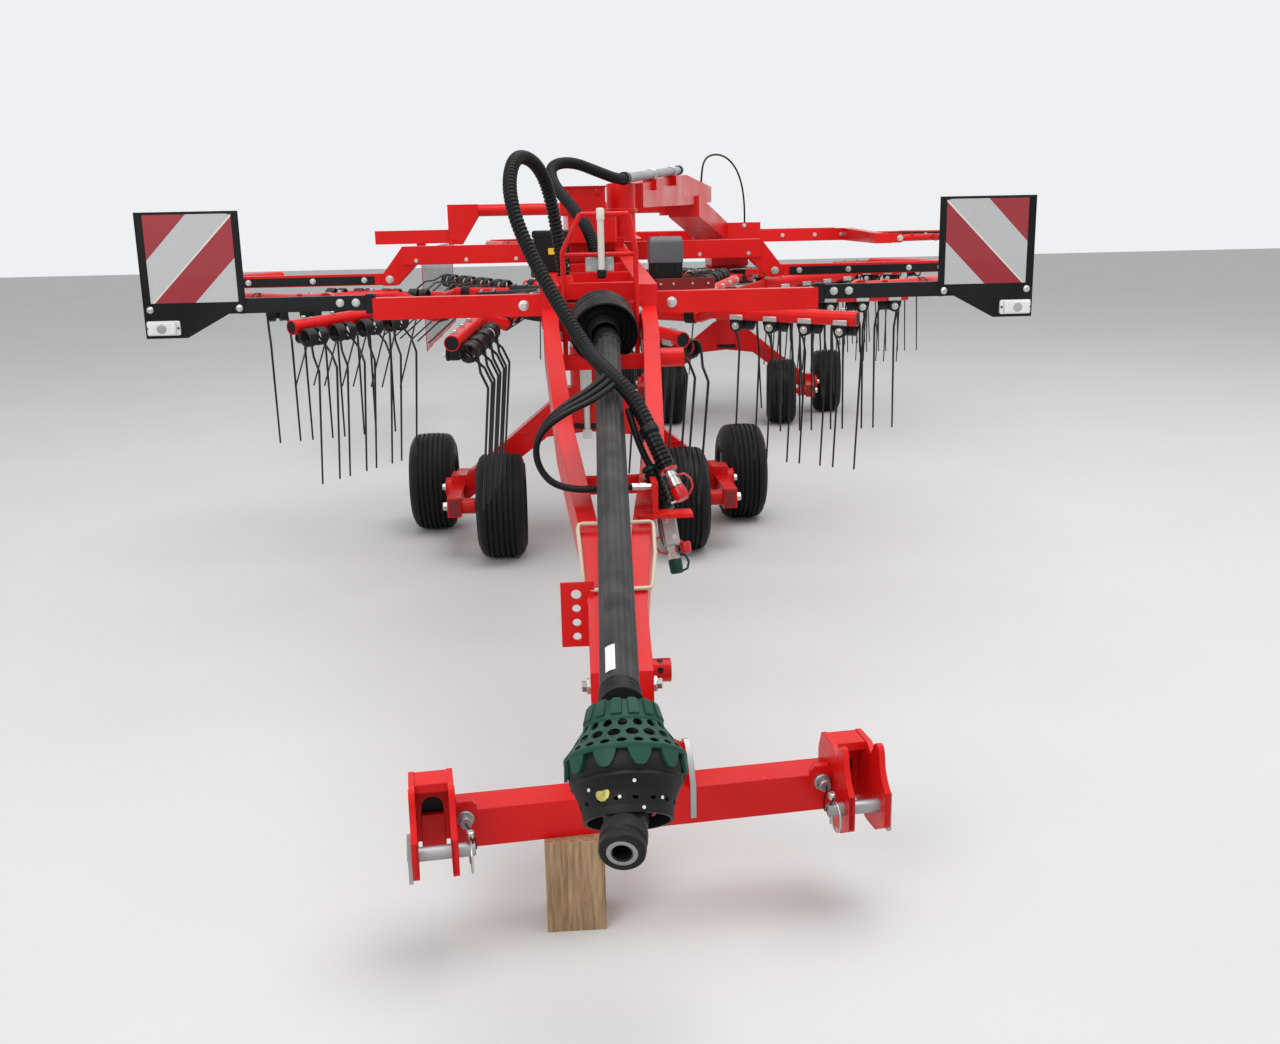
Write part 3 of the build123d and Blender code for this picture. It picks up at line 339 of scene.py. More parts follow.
class Shape:
    """A mesh under construction, in the machine's frame, with one material for each part of it."""

    def __init__(self, place=None):
        self.bm = bmesh.new()
        self.place = place or Matrix.Identity(4)
        self.materials = []
        self.current = 0

    def use(self, material):
        """Sets the material of what is added next."""
        if material not in self.materials:
            self.materials.append(material)
        self.current = self.materials.index(material)
        return self

    def face(self, corners):
        """A face in the present material."""
        self.bm.faces.new(corners).material_index = self.current

    def points(self, places):
        """New points at these places."""
        return [self.bm.verts.new(self.place @ Vector(p)) for p in places]

    def loft(self, rings, cap=True):
        """Skins rings of points that have the same count."""
        made = [self.points(ring) for ring in rings]
        for first, second in zip(made, made[1:]):
            count = len(first)
            for i in range(count):
                j = (i + 1) % count
                self.face((first[i], first[j], second[j], second[i]))
        if cap:
            self.face(list(reversed(made[0])))
            self.face(made[-1])

    def tube(self, path, radius, sides=10, cap=True):
        """A round tube along points; the radius may be a list, or a function of the point and the side."""
        path = [Vector(p) for p in path]
        radii = radius if isinstance(radius, list) else [radius] * len(path)
        rings, across = [], None
        for index, point in enumerate(path):
            before = path[max(index - 1, 0)]
            after = path[min(index + 1, len(path) - 1)]
            along = (after - before).normalized()
            if across is None:
                across = along.orthogonal().normalized()
            across = (across - along * across.dot(along)).normalized()
            other = along.cross(across)
            rings.append([
                point + (across * math.cos(a) + other * math.sin(a)) * (
                    radius(index, k) if callable(radius) else radii[index])
                for k, a in ((k, 2 * math.pi * k / sides) for k in range(sides))
            ])
        self.loft(rings, cap=cap)

    def lathe(self, centre, axis, profile, segments=32, closed=True):
        """Turns a profile of (along, radius) pairs about the axis through the centre."""
        axis = Vector(axis).normalized()
        across, other = across_of(axis)
        rings = []
        for k in range(segments):
            a = 2 * math.pi * k / segments
            out = across * math.cos(a) + other * math.sin(a)
            rings.append([Vector(centre) + axis * along + out * radius for along, radius in profile])
        made = [self.points(ring) for ring in rings]
        count = len(profile)
        spans = count if closed else count - 1
        for k in range(segments):
            first, second = made[k], made[(k + 1) % segments]
            for i in range(spans):
                j = (i + 1) % count
                self.face((first[i], second[i], second[j], first[j]))

    def turn(self, centre, axis, profile, segments=32):
        """Turns a profile that stays open, as a cap's or a bolt head's does where it ends on the axis."""
        self.lathe(centre, axis, profile, segments, closed=False)

    def block(self, low, high, b=0.0):
        """A block between two corners, with its edges cut by b."""
        low, high = Vector(low), Vector(high)
        levels = [(low.z, b), (low.z + b, 0), (high.z - b, 0), (high.z, b)] if b else [(low.z, 0),
            (high.z, 0)]
        rings = []
        for z, inset in levels:
            x0, x1, y0, y1 = low.x + inset, high.x - inset, low.y + inset, high.y - inset
            if b:
                rings.append([(x0 + b, y0, z), (x1 - b, y0, z), (x1, y0 + b, z), (x1, y1 - b, z),
                    (x1 - b, y1, z), (x0 + b, y1, z), (x0, y1 - b, z), (x0, y0 + b, z)])
            else:
                rings.append([(x0, y0, z), (x1, y0, z), (x1, y1, z), (x0, y1, z)])
        self.loft(rings)

    def slab(self, origin, right, up, outline, thickness):
        """A flat plate: an outline in the plane of right and up, made thick both ways."""
        origin, right, up = Vector(origin), Vector(right).normalized(), Vector(up).normalized()
        out = right.cross(up)
        rings = []
        for side in (-0.5, 0.5):
            rings.append([origin + right * x + up * y + out * thickness * side for x, y in outline])
        self.loft(rings)

    def pierced(self, centre, axis, low, high, count, hole=(0.7, 0.7), thickness=0.005, turn=0.0, sides=12):
        """A turned wall between two (along, radius) places, with an oval hole in each of its cells."""
        centre, axis = Vector(centre), Vector(axis).normalized()
        across, other = across_of(axis)

        def spot(u, v, angle, inset):
            share = (v + 1) / 2
            along, radius = (a + (b - a) * share for a, b in zip(low, high))
            angle += u * math.pi / count
            out = across * math.cos(angle) + other * math.sin(angle)
            return centre + axis * along + out * (radius - inset)

        for k in range(count):
            middle = turn + 2 * math.pi * k / count
            layers = []
            for inset in (0, thickness):
                edge, rim = [], []
                for i in range(sides):
                    a = 2 * math.pi * (i + 0.5) / sides
                    c, d = math.cos(a), math.sin(a)
                    reach = max(abs(c), abs(d))
                    edge.append(spot(c / reach, d / reach, middle, inset))
                    rim.append(spot(hole[0] * c, hole[1] * d, middle, inset))
                layers.append((self.points(edge), self.points(rim)))
            (edge, rim), (inner_edge, inner_rim) = layers
            for i in range(sides):
                j = (i + 1) % sides
                self.face((edge[i], edge[j], rim[j], rim[i]))
                self.face((inner_edge[i], inner_rim[i], inner_rim[j], inner_edge[j]))
                self.face((rim[i], rim[j], inner_rim[j], inner_rim[i]))

    def bolt(self, seat, axis, size, washer=True):
        """A hexagon head on a washer; size is the width across corners over two."""
        seat, axis = Vector(seat), Vector(axis).normalized()
        across, other = across_of(axis)

        def ring(radius, height, count):
            return [seat + axis * height + (across * math.cos(a) + other * math.sin(a)) * radius
                for a in (2 * math.pi * k / count for k in range(count))]

        thick = size * 0.18 if washer else 0
        if washer:
            self.loft([ring(size * 1.35, 0, 16), ring(size * 1.35, thick, 16)])
        self.loft([ring(size, thick, 6), ring(size, thick + size * 0.75, 6),
            ring(size * 0.86, thick + size * 0.9, 6)])

    def done(self, name, body, slot=None, replaced=(), angle=35):
        """Makes the object, which rides on the body."""
        bmesh.ops.recalc_face_normals(self.bm, faces=self.bm.faces)
        mesh = bpy.data.meshes.new(name)
        self.bm.to_mesh(mesh)
        self.bm.free()
        for material in self.materials:
            mesh.materials.append(material)
        mesh.set_sharp_from_angle(angle=math.radians(angle))
        for face in mesh.polygons:
            face.use_smooth = True
        made = bpy.data.objects.new(name, mesh)
        scene.collection.objects.link(made)
        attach(made, body)
        if replaced:
            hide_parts(*replaced)
        return made


# Wheels
TYRE_RADIUS, TYRE_HALF, TREAD_HALF = 0.2285, 0.1025, 0.075
RIM_RADIUS, RIM_HALF, AXLE_RADIUS = 0.102, 0.088, 0.020
INNER_WHEEL, OUTER_WHEEL, BOGIE_HALF = 0.395, 0.738, 0.294


def tyre_profile():
    """The ribbed tread, shoulders and sidewalls of an implement tyre."""
    outer = [(-TYRE_HALF + 0.026, RIM_RADIUS + 0.0005), (-TYRE_HALF + 0.005, 0.118), (-TYRE_HALF, 0.140),
        (-TYRE_HALF + 0.0005, 0.172), (-TYRE_HALF + 0.004, 0.190), (-TREAD_HALF - 0.016, 0.207),
        (-TREAD_HALF - 0.004, 0.2195)]
    ribs = []
    grooves = (-0.056, -0.034, -0.012, 0.012, 0.034, 0.056)
    for middle in grooves:
        crown = TYRE_RADIUS - 0.9 * middle * middle
        ribs += [(middle - 0.0045, crown), (middle - 0.003, crown - 0.009), (middle + 0.003, crown - 0.009),
            (middle + 0.0045, crown)]
    mirrored = [(-a, r) for a, r in reversed(outer)]
    return outer + ribs + mirrored


def dress_wheel(unit, side, kind, place):
    """A tyre with grooves and moulded rings, and a dished rim with bolts and a cap."""
    x = INNER_WHEEL if kind == "inner" else OUTER_WHEEL
    y = -BOGIE_HALF if kind == "inner" else BOGIE_HALF
    sign = 1 if side == "right" else -1
    # Local +X is the wheel's outer side, seen from the tandem beam it is bolted to
    out = sign if kind == "outer" else -sign
    centre = Vector((sign * x, y, TYRE_RADIUS))
    body = f"wheel_{unit}_{side}_{kind}"
    tyre = Shape(place)
    tyre.use(rubber).lathe(centre, X, tyre_profile(), 96)
    for face_side in (-1, 1):
        foot, crest = face_side * (TYRE_HALF - 0.0045), face_side * (TYRE_HALF + 0.0012)
        for r in (0.124, 0.150, 0.178):
            tyre.lathe(centre, X, [(foot, r - 0.003), (crest, r - 0.001), (crest, r + 0.001),
                (foot, r + 0.003)], 96)
    tyre.done(f"tyre_{unit}_{side}_{kind}_dressed", body, "tyre", [f"tyre_{unit}_{side}_{kind}"], 40)
    rim = Shape(place)
    rim.use(rim_paint).turn(centre, out * X, [(-RIM_HALF, 0.094), (-RIM_HALF, RIM_RADIUS),
        (RIM_HALF, RIM_RADIUS), (RIM_HALF, 0.095), (RIM_HALF - 0.008, 0.089), (0.030, 0.084),
        (0.022, 0.074), (0.026, 0.052), (0.044, 0.046), (0.050, 0.038), (0.062, 0.036), (0.062, 0.0)], 48)
    rim.turn(centre, out * X, [(-RIM_HALF, 0.094), (-0.02, 0.084), (0.006, 0.070), (0.006, 0.046),
        (-0.062, 0.040), (-0.062, AXLE_RADIUS + 0.0002)], 48)
    rim.use(zinc)
    for k in range(5):
        a = 2 * math.pi * k / 5
        rim.bolt(centre + Vector((out * 0.0235, 0.063 * math.cos(a), 0.063 * math.sin(a))), out * X, 0.009)
    rim.turn(centre, out * X, mm((60, 33.5), (74, 31), (78, 26), (78, 0)), 32)
    # Three thin black discs on the cap stand for its three holes: painted shade in place of their hollows
    for k in range(3):
        a = 2 * math.pi * k / 3 + 0.4
        rim.use(black_paint).turn(centre + Vector((0, 0.018 * math.cos(a), 0.018 * math.sin(a))), out * X,
            mm((76, 4.5), (78.6, 4.5), (78.6, 0)), 12)
    rim.done(f"rim_{unit}_{side}_{kind}_dressed", body, "rim_paint", [f"rim_{unit}_{side}_{kind}"])


for unit, place in (("front", FRONT), ("rear", STEERED)):
    for side in ("left", "right"):
        for kind in ("inner", "outer"):
            dress_wheel(unit, side, kind, place)

# Rotor arms and tines
ARM_COUNT, FIRST_ARM, ARM_OFFSET = 11, -6.6, 0.262
TINE_TUBE_RADIUS, TINE_TUBE_SHIFT, TINE_TUBE_RISE, TINE_TUBE_END = 0.028, -0.076, 0.035, 1.357
ARM_RADIUS, HUB_BOLTS, HUB_CIRCLE = 0.023, 12, 0.235
FIRST_TINE, TINE_PITCH, TINES_PER_ARM, TINE_SPREAD = 0.880, 0.140, 4, 0.087
COIL_RADIUS, WIRE_RADIUS, COIL_ANGLE = 0.036, 0.0048, math.radians(36)
COIL_TURNS, COIL_STEPS = 4.25, 11
COIL_REACH = TINE_TUBE_RADIUS + COIL_RADIUS + 0.0003
COIL_SHIFT, COIL_DROP = COIL_REACH * math.cos(COIL_ANGLE), COIL_REACH * math.sin(COIL_ANGLE)
KNEE_SHIFT, KNEE_DROP, TIP_SHIFT, TIP_DROP = 0.062, 0.120, 0.022, 0.600
LIFT_ANGLE, LIFT_START, LIFT_FULL, LOWER_START, LOWER_END = 65, 125, 150, 245, 285


def lift(azimuth):
    """The roll that the cam gives to an arm at this azimuth."""
    if LIFT_START < azimuth < LIFT_FULL:
        return LIFT_ANGLE * (azimuth - LIFT_START) / (LIFT_FULL - LIFT_START)
    if LIFT_FULL <= azimuth <= LOWER_START:
        return LIFT_ANGLE
    if LOWER_START < azimuth < LOWER_END:
        return LIFT_ANGLE * (LOWER_END - azimuth) / (LOWER_END - LOWER_START)
    return 0


def arm_place(place, index):
    """The place of one arm: X along the arm, Y the way its tines sweep back, Z up before it is rolled."""
    azimuth = FIRST_ARM + index * 360 / ARM_COUNT
    return (
        place @ Matrix.Rotation(math.radians(azimuth - 90), 4, "Z") @ Matrix.Translation((0, -ARM_OFFSET, 0))
        @ Matrix.Rotation(math.radians(lift(azimuth)), 4, "X")
    )


def double_tine(shape, middle):
    """Two coils side by side on the tube, wound from one wire, each running out into a leg."""
    coil_wind = COIL_RADIUS - WIRE_RADIUS
    y0, z0 = TINE_TUBE_SHIFT + COIL_SHIFT, TINE_TUBE_RISE - COIL_DROP
    for side in (-1, 1):
        inner, outer = middle + side * 0.008, middle + side * TINE_SPREAD / 2
        count = int(COIL_TURNS * COIL_STEPS)
        path = []
        for k in range(count + 1):
            t = k / count
            a = math.pi / 2 - side * COIL_TURNS * 2 * math.pi * t
            path.append((inner + (outer - inner) * t, y0 + coil_wind * math.cos(a),
                z0 + coil_wind * math.sin(a)))
        for shift, drop in ((KNEE_SHIFT * 0.62, KNEE_DROP * 0.55), (KNEE_SHIFT - 0.006, KNEE_DROP - 0.014),
                (KNEE_SHIFT, KNEE_DROP), (KNEE_SHIFT - 0.001, KNEE_DROP + 0.014),
                (TIP_SHIFT, TIP_DROP - COIL_DROP)):
            path.append((outer, y0 + shift, z0 - drop))
        shape.tube(path, [WIRE_RADIUS] * (len(path) - 1) + [WIRE_RADIUS * 0.8], 6)


def tine_holder(shape, middle):
    """The holder under the tube, with its plate, washer and nut on the side away from the coils."""
    y0, z0 = TINE_TUBE_SHIFT, TINE_TUBE_RISE
    shape.use(zinc).block((middle - 0.027, y0 - 0.0305, z0 - 0.024),
        (middle + 0.027, y0 - 0.020, z0 - 0.004), 0.0015)
    shape.use(black_paint).block((middle - 0.020, y0 - 0.026, z0 - 0.066),
        (middle + 0.020, y0 + 0.018, z0 - 0.020), 0.004)
    nut = Vector((middle, y0 - 0.026, z0 - 0.047))
    shape.turn(nut, -Y, mm((-2, 0), (-2, 23.5), (4.5, 23.5), (6.5, 21.5), (6.5, 0)), 20)
    shape.use(zinc).turn(nut, -Y, mm((6.5, 15), (8.5, 14.5), (8.5, 0)), 16)
    shape.bolt(nut + Vector((0, -0.0085, 0)), -Y, 0.0098, washer=False)
    shape.bolt((middle, y0, z0 + TINE_TUBE_RADIUS - 0.001), Z, 0.0095)


def dress_rotor(unit, place):
    """Wire tines, their holders and the arm's clamps, all on one rotor."""
    body = f"rotor_{unit}"
    tines, holders = Shape(), Shape()
    tines.use(spring_steel)
    for index in range(ARM_COUNT):
        tines.place = holders.place = arm_place(place, index)
        for number in range(TINES_PER_ARM):
            middle = FIRST_TINE + number * TINE_PITCH
            double_tine(tines, middle)
            tine_holder(holders, middle)
        holders.use(black_paint).lathe((0.640, 0, 0), X,
            [(-0.020, ARM_RADIUS - 0.001), (-0.020, ARM_RADIUS + 0.006), (0.020, ARM_RADIUS + 0.006),
            (0.020, ARM_RADIUS - 0.001)], 20)
        tube_end = TINE_TUBE_END, TINE_TUBE_SHIFT, TINE_TUBE_RISE
        holders.use(red_paint).lathe(tube_end, X, [(0.0002, TINE_TUBE_RADIUS),
            (0.003, TINE_TUBE_RADIUS - 0.0006), (0.003, TINE_TUBE_RADIUS - 0.004),
            (0.0002, TINE_TUBE_RADIUS - 0.004)], 24)
        holders.use(black_paint).turn(tube_end, X, [(0.0006, TINE_TUBE_RADIUS - 0.003), (0.0006, 0)], 24)
    tines.place = holders.place = place
    for k in range(HUB_BOLTS):
        a = 2 * math.pi * k / HUB_BOLTS
        holders.use(zinc).bolt((HUB_CIRCLE * math.cos(a), HUB_CIRCLE * math.sin(a), 0.030), Z, 0.011)
    for index in range(ARM_COUNT):
        azimuth = math.radians(FIRST_ARM + index * 360 / ARM_COUNT)
        along_arm = Vector((math.sin(azimuth), -math.cos(azimuth), 0))
        beside = Vector((-math.cos(azimuth), -math.sin(azimuth), 0))
        for reach in (0.345, 0.400):
            holders.bolt(along_arm * reach + beside * ARM_OFFSET + Vector((0, 0, 0.0355)), Z, 0.0095)
    tines.done(f"tines_{unit}_dressed", body, "spring_steel", [f"rotor_tines_{unit}"], 60)
    holders.done(f"tine_holders_{unit}", body, "black_paint")


for unit, place in (("front", PITCHED), ("rear", UPRIGHT)):
    dress_rotor(unit, place)

# Hoses: each route runs in millimetres from the front rotor's axis at the ground
BUNDLE_ROUTE = mm((-105, -1600, 1251), (-125, -1575, 1440), (-165, -1640, 1590), (-240, -1790, 1620),
    (-262, -1920, 1500), (-205, -1990, 1330), (-60, -2170, 1080), (-10, -2330, 1035), (70, -2440, 965),
    (112, -2530, 850))
BRANCH_ROUTE = mm((43, -2432, 942), (64, -2490, 857), (103, -2520, 785), (126, -2548, 712),
    (140, -2578, 640))
STRAND_ROUTE = mm((-16, -2380, 1023), (-57, -2470, 1000), (-133, -2545, 968), (-187, -2565, 915),
    (-200, -2570, 850), (-172, -2575, 792), (-120, -2578, 768), (-40, -2580, 766), (38, -2580, 769))
STRAND_STEPS = mm((11, -15, -10), (9, -15, -9), (4, -20, -5), (0, -20, 0)) + mm((0, -19, 3)) * 5
ARCH_ROUTE = mm((14, -1250, 1264), (5, -1200, 1370), (-60, -1000, 1470), (-130, -800, 1560),
    (-135, -650, 1632), (-50, -545, 1650), (60, -500, 1608), (136.2, -411.3, 1583.4), (160, -319.3, 1588.9))
REAR_HOSE_ROUTE = mm((800, 2370, 1635), (806, 2385, 1712), (828, 2440, 1782), (880, 2550, 1820),
    (960, 2690, 1830), (1040, 2830, 1805), (1110, 2960, 1745), (1160, 3075, 1655), (1190, 3170, 1555),
    (1205, 3240, 1455), (1210, 3280, 1359))


def smooth_route(route):
    """Points read from the smooth line of a route, in the machine's frame."""
    data = bpy.data.curves.new("route", "CURVE")
    data.dimensions, data.resolution_u = "3D", 24
    spline = data.splines.new("NURBS")
    spline.points.add(len(route) - 1)
    for point, place in zip(spline.points, route):
        point.co = (*(FRONT @ Vector(place)), 1)
    spline.order_u = 3
    spline.use_endpoint_u = True
    line = bpy.data.objects.new("route", data)
    mesh = bpy.data.meshes.new_from_object(line)
    points = [vertex.co.copy() for vertex in mesh.vertices]
    bpy.data.objects.remove(line)
    bpy.data.curves.remove(data)
    bpy.data.meshes.remove(mesh)
    return points


def paced(points, step):
    """Places one step apart along a line of points, with its two ends."""
    lengths = [0.0]
    for first, second in zip(points, points[1:]):
        lengths.append(lengths[-1] + (second - first).length)
    count = max(2, round(lengths[-1] / step))
    places, index = [], 0
    for k in range(count + 1):
        distance = lengths[-1] * k / count
        while index < len(points) - 2 and lengths[index + 1] < distance:
            index += 1
        share = (distance - lengths[index]) / (lengths[index + 1] - lengths[index])
        places.append(points[index].lerp(points[index + 1], share))
    return places


def lay_hose(node, route, radius, body="chassis", ridge=0.0, pitch=0.012, wound=0):
    """A hose along its route; ridge is the depth of its folds, which wind round it where wound is 1."""
    line = smooth_route(route)
    per_fold, sides = 6, 20
    hose = Shape().use(hose_rubber)
    if ridge:
        def fold(point, side):
            """The radius on the folds."""
            wave = math.cos(2 * math.pi * (point / per_fold - wound * side / sides))
            return radius - ridge * (0.5 - 0.5 * wave) ** 2
        hose.tube(paced(line, pitch / per_fold), fold, sides)
    else:
        hose.tube(paced(line, 0.008), radius, 14)
    piece = hose.done(f"{node}_dressed", body, "hose_black", [node], 60)


def along(start, *moves):
    """The place that is reached from the start by moves, each a direction and then a distance."""
    for direction, distance in zip(moves[::2], moves[1::2]):
        start = start + direction * distance
    return start


GRIP_FOLDS = 7


def grip_profile(first, step, radius, growth, spots):
    """The folds of a coupler's grip: of a fold's four spots, the first two grow from fold to fold."""
    profile = []
    for k in range(GRIP_FOLDS):
        for number, (t, rise) in enumerate(spots):
            profile.append((t + first + k * step, radius + rise + (k * growth if number < 2 else 0)))
    return profile


red_set = Shape(FRONT)
red_run = (Vector(BUNDLE_ROUTE[-1]) - Vector(BUNDLE_ROUTE[-2])).normalized()
red_run = (red_run + Vector((0.10, 0.10, -0.05))).normalized()
red_end = Vector(BUNDLE_ROUTE[-1]) - red_run * 0.047
red_set.use(black_plastic).lathe(red_end, red_run, mm((-22, 21.5), (-18, 25.5), (-4, 26.5), (2, 22.5)), 28)
grip = grip_profile(0.006, 0.013, 0.0205, 0.0005, mm((0, 0), (6.5, 0), (8.5, -2.3), (11.5, -2.3)))
red_set.turn(red_end, red_run, mm((0, 0), (0, 19.5)) + grip + mm((100, 24), (104, 24), (104, 0)), 28)
red_set.use(red_plastic).lathe(red_end, red_run, wall(104, 109, 12, 23.5), 28)
red_set.use(zinc).turn(red_end, red_run, mm((107, 0), (107, 13), (118, 13), (119, 15.5), (126, 15.5),
    (127, 13.5), (134, 13.5), (135, 16.5), (154, 16.5), (156, 13), (160, 13), (160, 0)), 24)
red_set.use(red_plastic).turn(red_end, red_run, mm((158, 0), (158, 18.5), (163, 19.5), (186, 18.5),
    (191, 16), (191, 0)), 28)
side_run = red_run.cross(Y).normalized()
strap = [along(red_end, red_run, t, side_run, s)
    for t, s in ((0.128, 0.016), (0.131, 0.031), (0.150, 0.041), (0.172, 0.036), (0.184, 0.022),
    (0.186, 0.012))]
red_set.tube(strap, 0.0028, 8)
red_set.use(zinc).tube([along(red_end, red_run, 0.188), along(red_end, red_run, 0.187, side_run, -0.030)],
    0.0035, 8)
red_piece = red_set.done("coupler_red_dressed", "chassis", "coupler_red", ["hose_couplers"])

green_set = Shape(FRONT)
grip_start, grip_end = Vector((0.0905, -2.510, 0.806)), Vector((0.1265, -2.551, 0.700))
green_run = (grip_end - grip_start).normalized()
grip = grip_profile(0.004, 0.014, 0.0205, 0.0004, mm((0, 0), (7, 0.3), (9, -2), (12.5, -2)))
green_set.use(black_plastic).turn(grip_start, green_run,
    mm((0, 10), (0, 19.5)) + grip + mm((108, 23.5), (114, 23.5), (114, 10)), 28)
green_set.use(green_plastic).lathe(grip_start, green_run, wall(114, 121, 10, 22.5), 28)
green_set.lathe(grip_start, green_run, wall(4, 12, 19.5, 24.5), 28)
block_top, block_low = Vector((0.1285, -2.555, 0.690)), Vector((0.139, -2.582, 0.612))
block_run = (block_low - block_top).normalized()
block_side = block_run.cross(Y).normalized()
block_out = block_side.cross(block_run)
outline = mm((-20, -16), (-16, -20), (16, -20), (20, -16), (20, 16), (16, 20), (-16, 20), (-20, 16))


def on_block(t, s, out=0.0):
    """A place on the valve block: down it, to its side and out of it."""
    return along(block_top, block_run, t, block_side, s, block_out, out)


green_set.use(galvanised).loft([
    [on_block(t, x * grow, y * grow) for x, y in outline]
    for t, grow in ((0.0, 0.88), (0.003, 1), (0.080, 1), (0.083, 0.88))
])
for t, s in ((0.020, -0.006), (0.062, 0.007)):
    green_set.use(zinc).bolt(on_block(t, s, -0.020), -block_out, 0.005)
low_start = along(block_top, block_run, 0.083)
green_set.use(zinc).turn(low_start, block_run, mm((0, 0), (0, 14.5), (10, 14.5), (11, 11.5), (17, 11.5),
    (18, 15), (34, 15), (35, 11), (38, 11), (38, 0)), 6)
green_set.use(green_plastic).turn(low_start, block_run,
    mm((34, 0), (34, 16), (38, 17.5), (66, 16.5), (71, 14), (71, 0)), 28)
strap = [along(low_start, block_run, t, block_side, s)
    for t, s in ((0.024, 0.015), (0.028, 0.028), (0.046, 0.034), (0.062, 0.028), (0.066, 0.015))]
green_set.tube(strap, 0.003, 8)
strap = [on_block(t, s, -0.012) for t, s in ((0.055, -0.020), (0.058, -0.036), (0.075, -0.044),
    (0.096, -0.034), (0.102, -0.016))]
green_set.use(red_plastic).tube(strap, 0.0026, 8)
green_set.turn(on_block(0.078, 0.032, -0.006), block_run,
    mm((0, 0), (0, 12.5), (4, 14), (26, 13), (29, 10), (29, 0)), 20)
green_set.tube([on_block(0.070, 0.018), on_block(0.082, 0.030, -0.006)], 0.003, 8)
green_piece = green_set.done("coupler_green_dressed", "chassis", "coupler_red", ["hose_couplers"])

FIRST_FITTING, FITTING_STEP = Vector((0.0386, -2.580, 0.769)), Vector((0, -0.019, 0.003))
for strand in range(3):
    fitting = Shape(FRONT).use(zinc)
    fitting.turn(FIRST_FITTING + FITTING_STEP * strand, X,
        mm((0, 0), (0, 8.5), (14, 8.5), (15, 7), (19, 7), (20, 8.8), (34, 8.8), (35, 6.5), (46.1, 6.5),
        (46.1, 0)), 6)
    fitting.done(f"strand_fitting_{strand + 1}", "chassis", "coupler_red",
        ["hose_couplers"])

lay_hose("hose_bundle", BUNDLE_ROUTE, 0.021, ridge=0.0035, pitch=0.013, wound=1)
lay_hose("hose_branch", BRANCH_ROUTE, 0.009)
for strand in range(3):
    stepped = [Vector(point) + Vector(step) * strand for point, step in zip(STRAND_ROUTE, STRAND_STEPS)]
    lay_hose(f"hose_strand_{strand + 1}", stepped, 0.008)
lay_hose("hose_arch", ARCH_ROUTE, 0.022, ridge=0.004, pitch=0.011)
lay_hose("hose_rear", REAR_HOSE_ROUTE, 0.006, body="rear_arm")

# Warning panels and their lamps
PANEL_X, PANEL_LOW, PANEL_FACE_Y = 1.251, 1.190, -1.6273
PANEL_WIDTH, PANEL_SIZE, FILM_SIZE = 0.312, 0.282, 0.266
LAMP_OUTLINE = ((-1, -0.8), (-0.93, -1), (0.93, -1), (1, -0.8), (1, 0.8), (0.93, 1), (-0.93, 1), (-1, 0.8))
# Pieces of film with their lift: corners are shares of the panel's width, from outside, and of its height
FILMS = (
    (red_film, 0, ((0, 0.49), (0.49, 1), (0, 1))),
    (red_film, 0, ((0.045, 0), (0.51, 0), (1, 0.50), (1, 0.985))),
    (white_film, 0, ((0, 0.045), (0, 0.49), (0.49, 1), (0.94, 1), (1, 0.985), (0.045, 0), (0, 0))),
    (white_film, 0, ((0.51, 0), (1, 0), (1, 0.50))),
    (pale_plastic, 0.0004, ((0.020, 0.0), (0.045, 0.0), (1, 0.97), (1, 0.995))),
)
for side, name in SIDES:
    panel = Shape(FRONT)
    left, low = side * (PANEL_X - 0.002) - FILM_SIZE / 2, PANEL_LOW + 0.008
    for material, lift_out, corners in FILMS:
        outline = [(left + (u if side < 0 else 1 - u) * FILM_SIZE, low + v * FILM_SIZE) for u, v in corners]
        panel.use(material).slab((0, PANEL_FACE_Y - 0.0004 - lift_out, 0), X, Z, outline, 0.0008)
    for u in (-1, 1):
        x = side * (PANEL_X + u * (PANEL_WIDTH / 2 - 0.020))
        panel.use(zinc).turn((x, PANEL_FACE_Y, PANEL_LOW - 0.012), -Y,
            mm((0, 11), (1.5, 11.2), (4, 9.5), (6.2, 6), (6.6, 3.5), (4.5, 3), (4.5, 0)), 20)
    foot, crest = PANEL_LOW + 0.002, PANEL_LOW + PANEL_SIZE - 0.004
    panel.use(black_paint).tube([
        (side * PANEL_X + u * (PANEL_WIDTH / 2 - 0.003), PANEL_FACE_Y + 0.001, z)
        for u, z in ((-1, foot), (-1, crest), (1, crest), (1, foot))
    ], 0.0028, 8)
    panel.done(f"panel_film_{name}", "chassis", "panel_white")

    lamp = Shape(FRONT)
    middle, front_y, z = side * (PANEL_X + 0.098), -1.6276, 1.122
    lamp.use(white_plastic)
    lamp.loft([
        [(middle + x * w, front_y - y, z + v * h) for x, v in LAMP_OUTLINE]
        for y, w, h in mm((0, 49.8, 22.2), (10, 49.8, 22.2), (12, 43, 20.5), (26, 41.5, 19), (31, 37, 16))
    ])
    for u in (-1, 1):
        lamp.use(black_plastic).turn((middle + u * 0.0458, front_y - 0.010, z), -Y,
            mm((0, 3.4), (2, 3.4), (2, 0)), 12)
    lamp.use(galvanised).turn((middle, front_y - 0.031, z), -Y,
        mm((0, 14.5), (1.2, 14.5), (2, 12), (0.5, 0)), 24)
    for u in (-0.026, -0.019, 0.019, 0.026):
        lamp.use(white_plastic).block((middle + u - 0.0012, front_y - 0.0325, z - 0.013),
            (middle + u + 0.0012, front_y - 0.030, z + 0.013))
    lamp.done(f"panel_lamp_{name}_dressed", "chassis", "lamp", ["panel_lamps"])

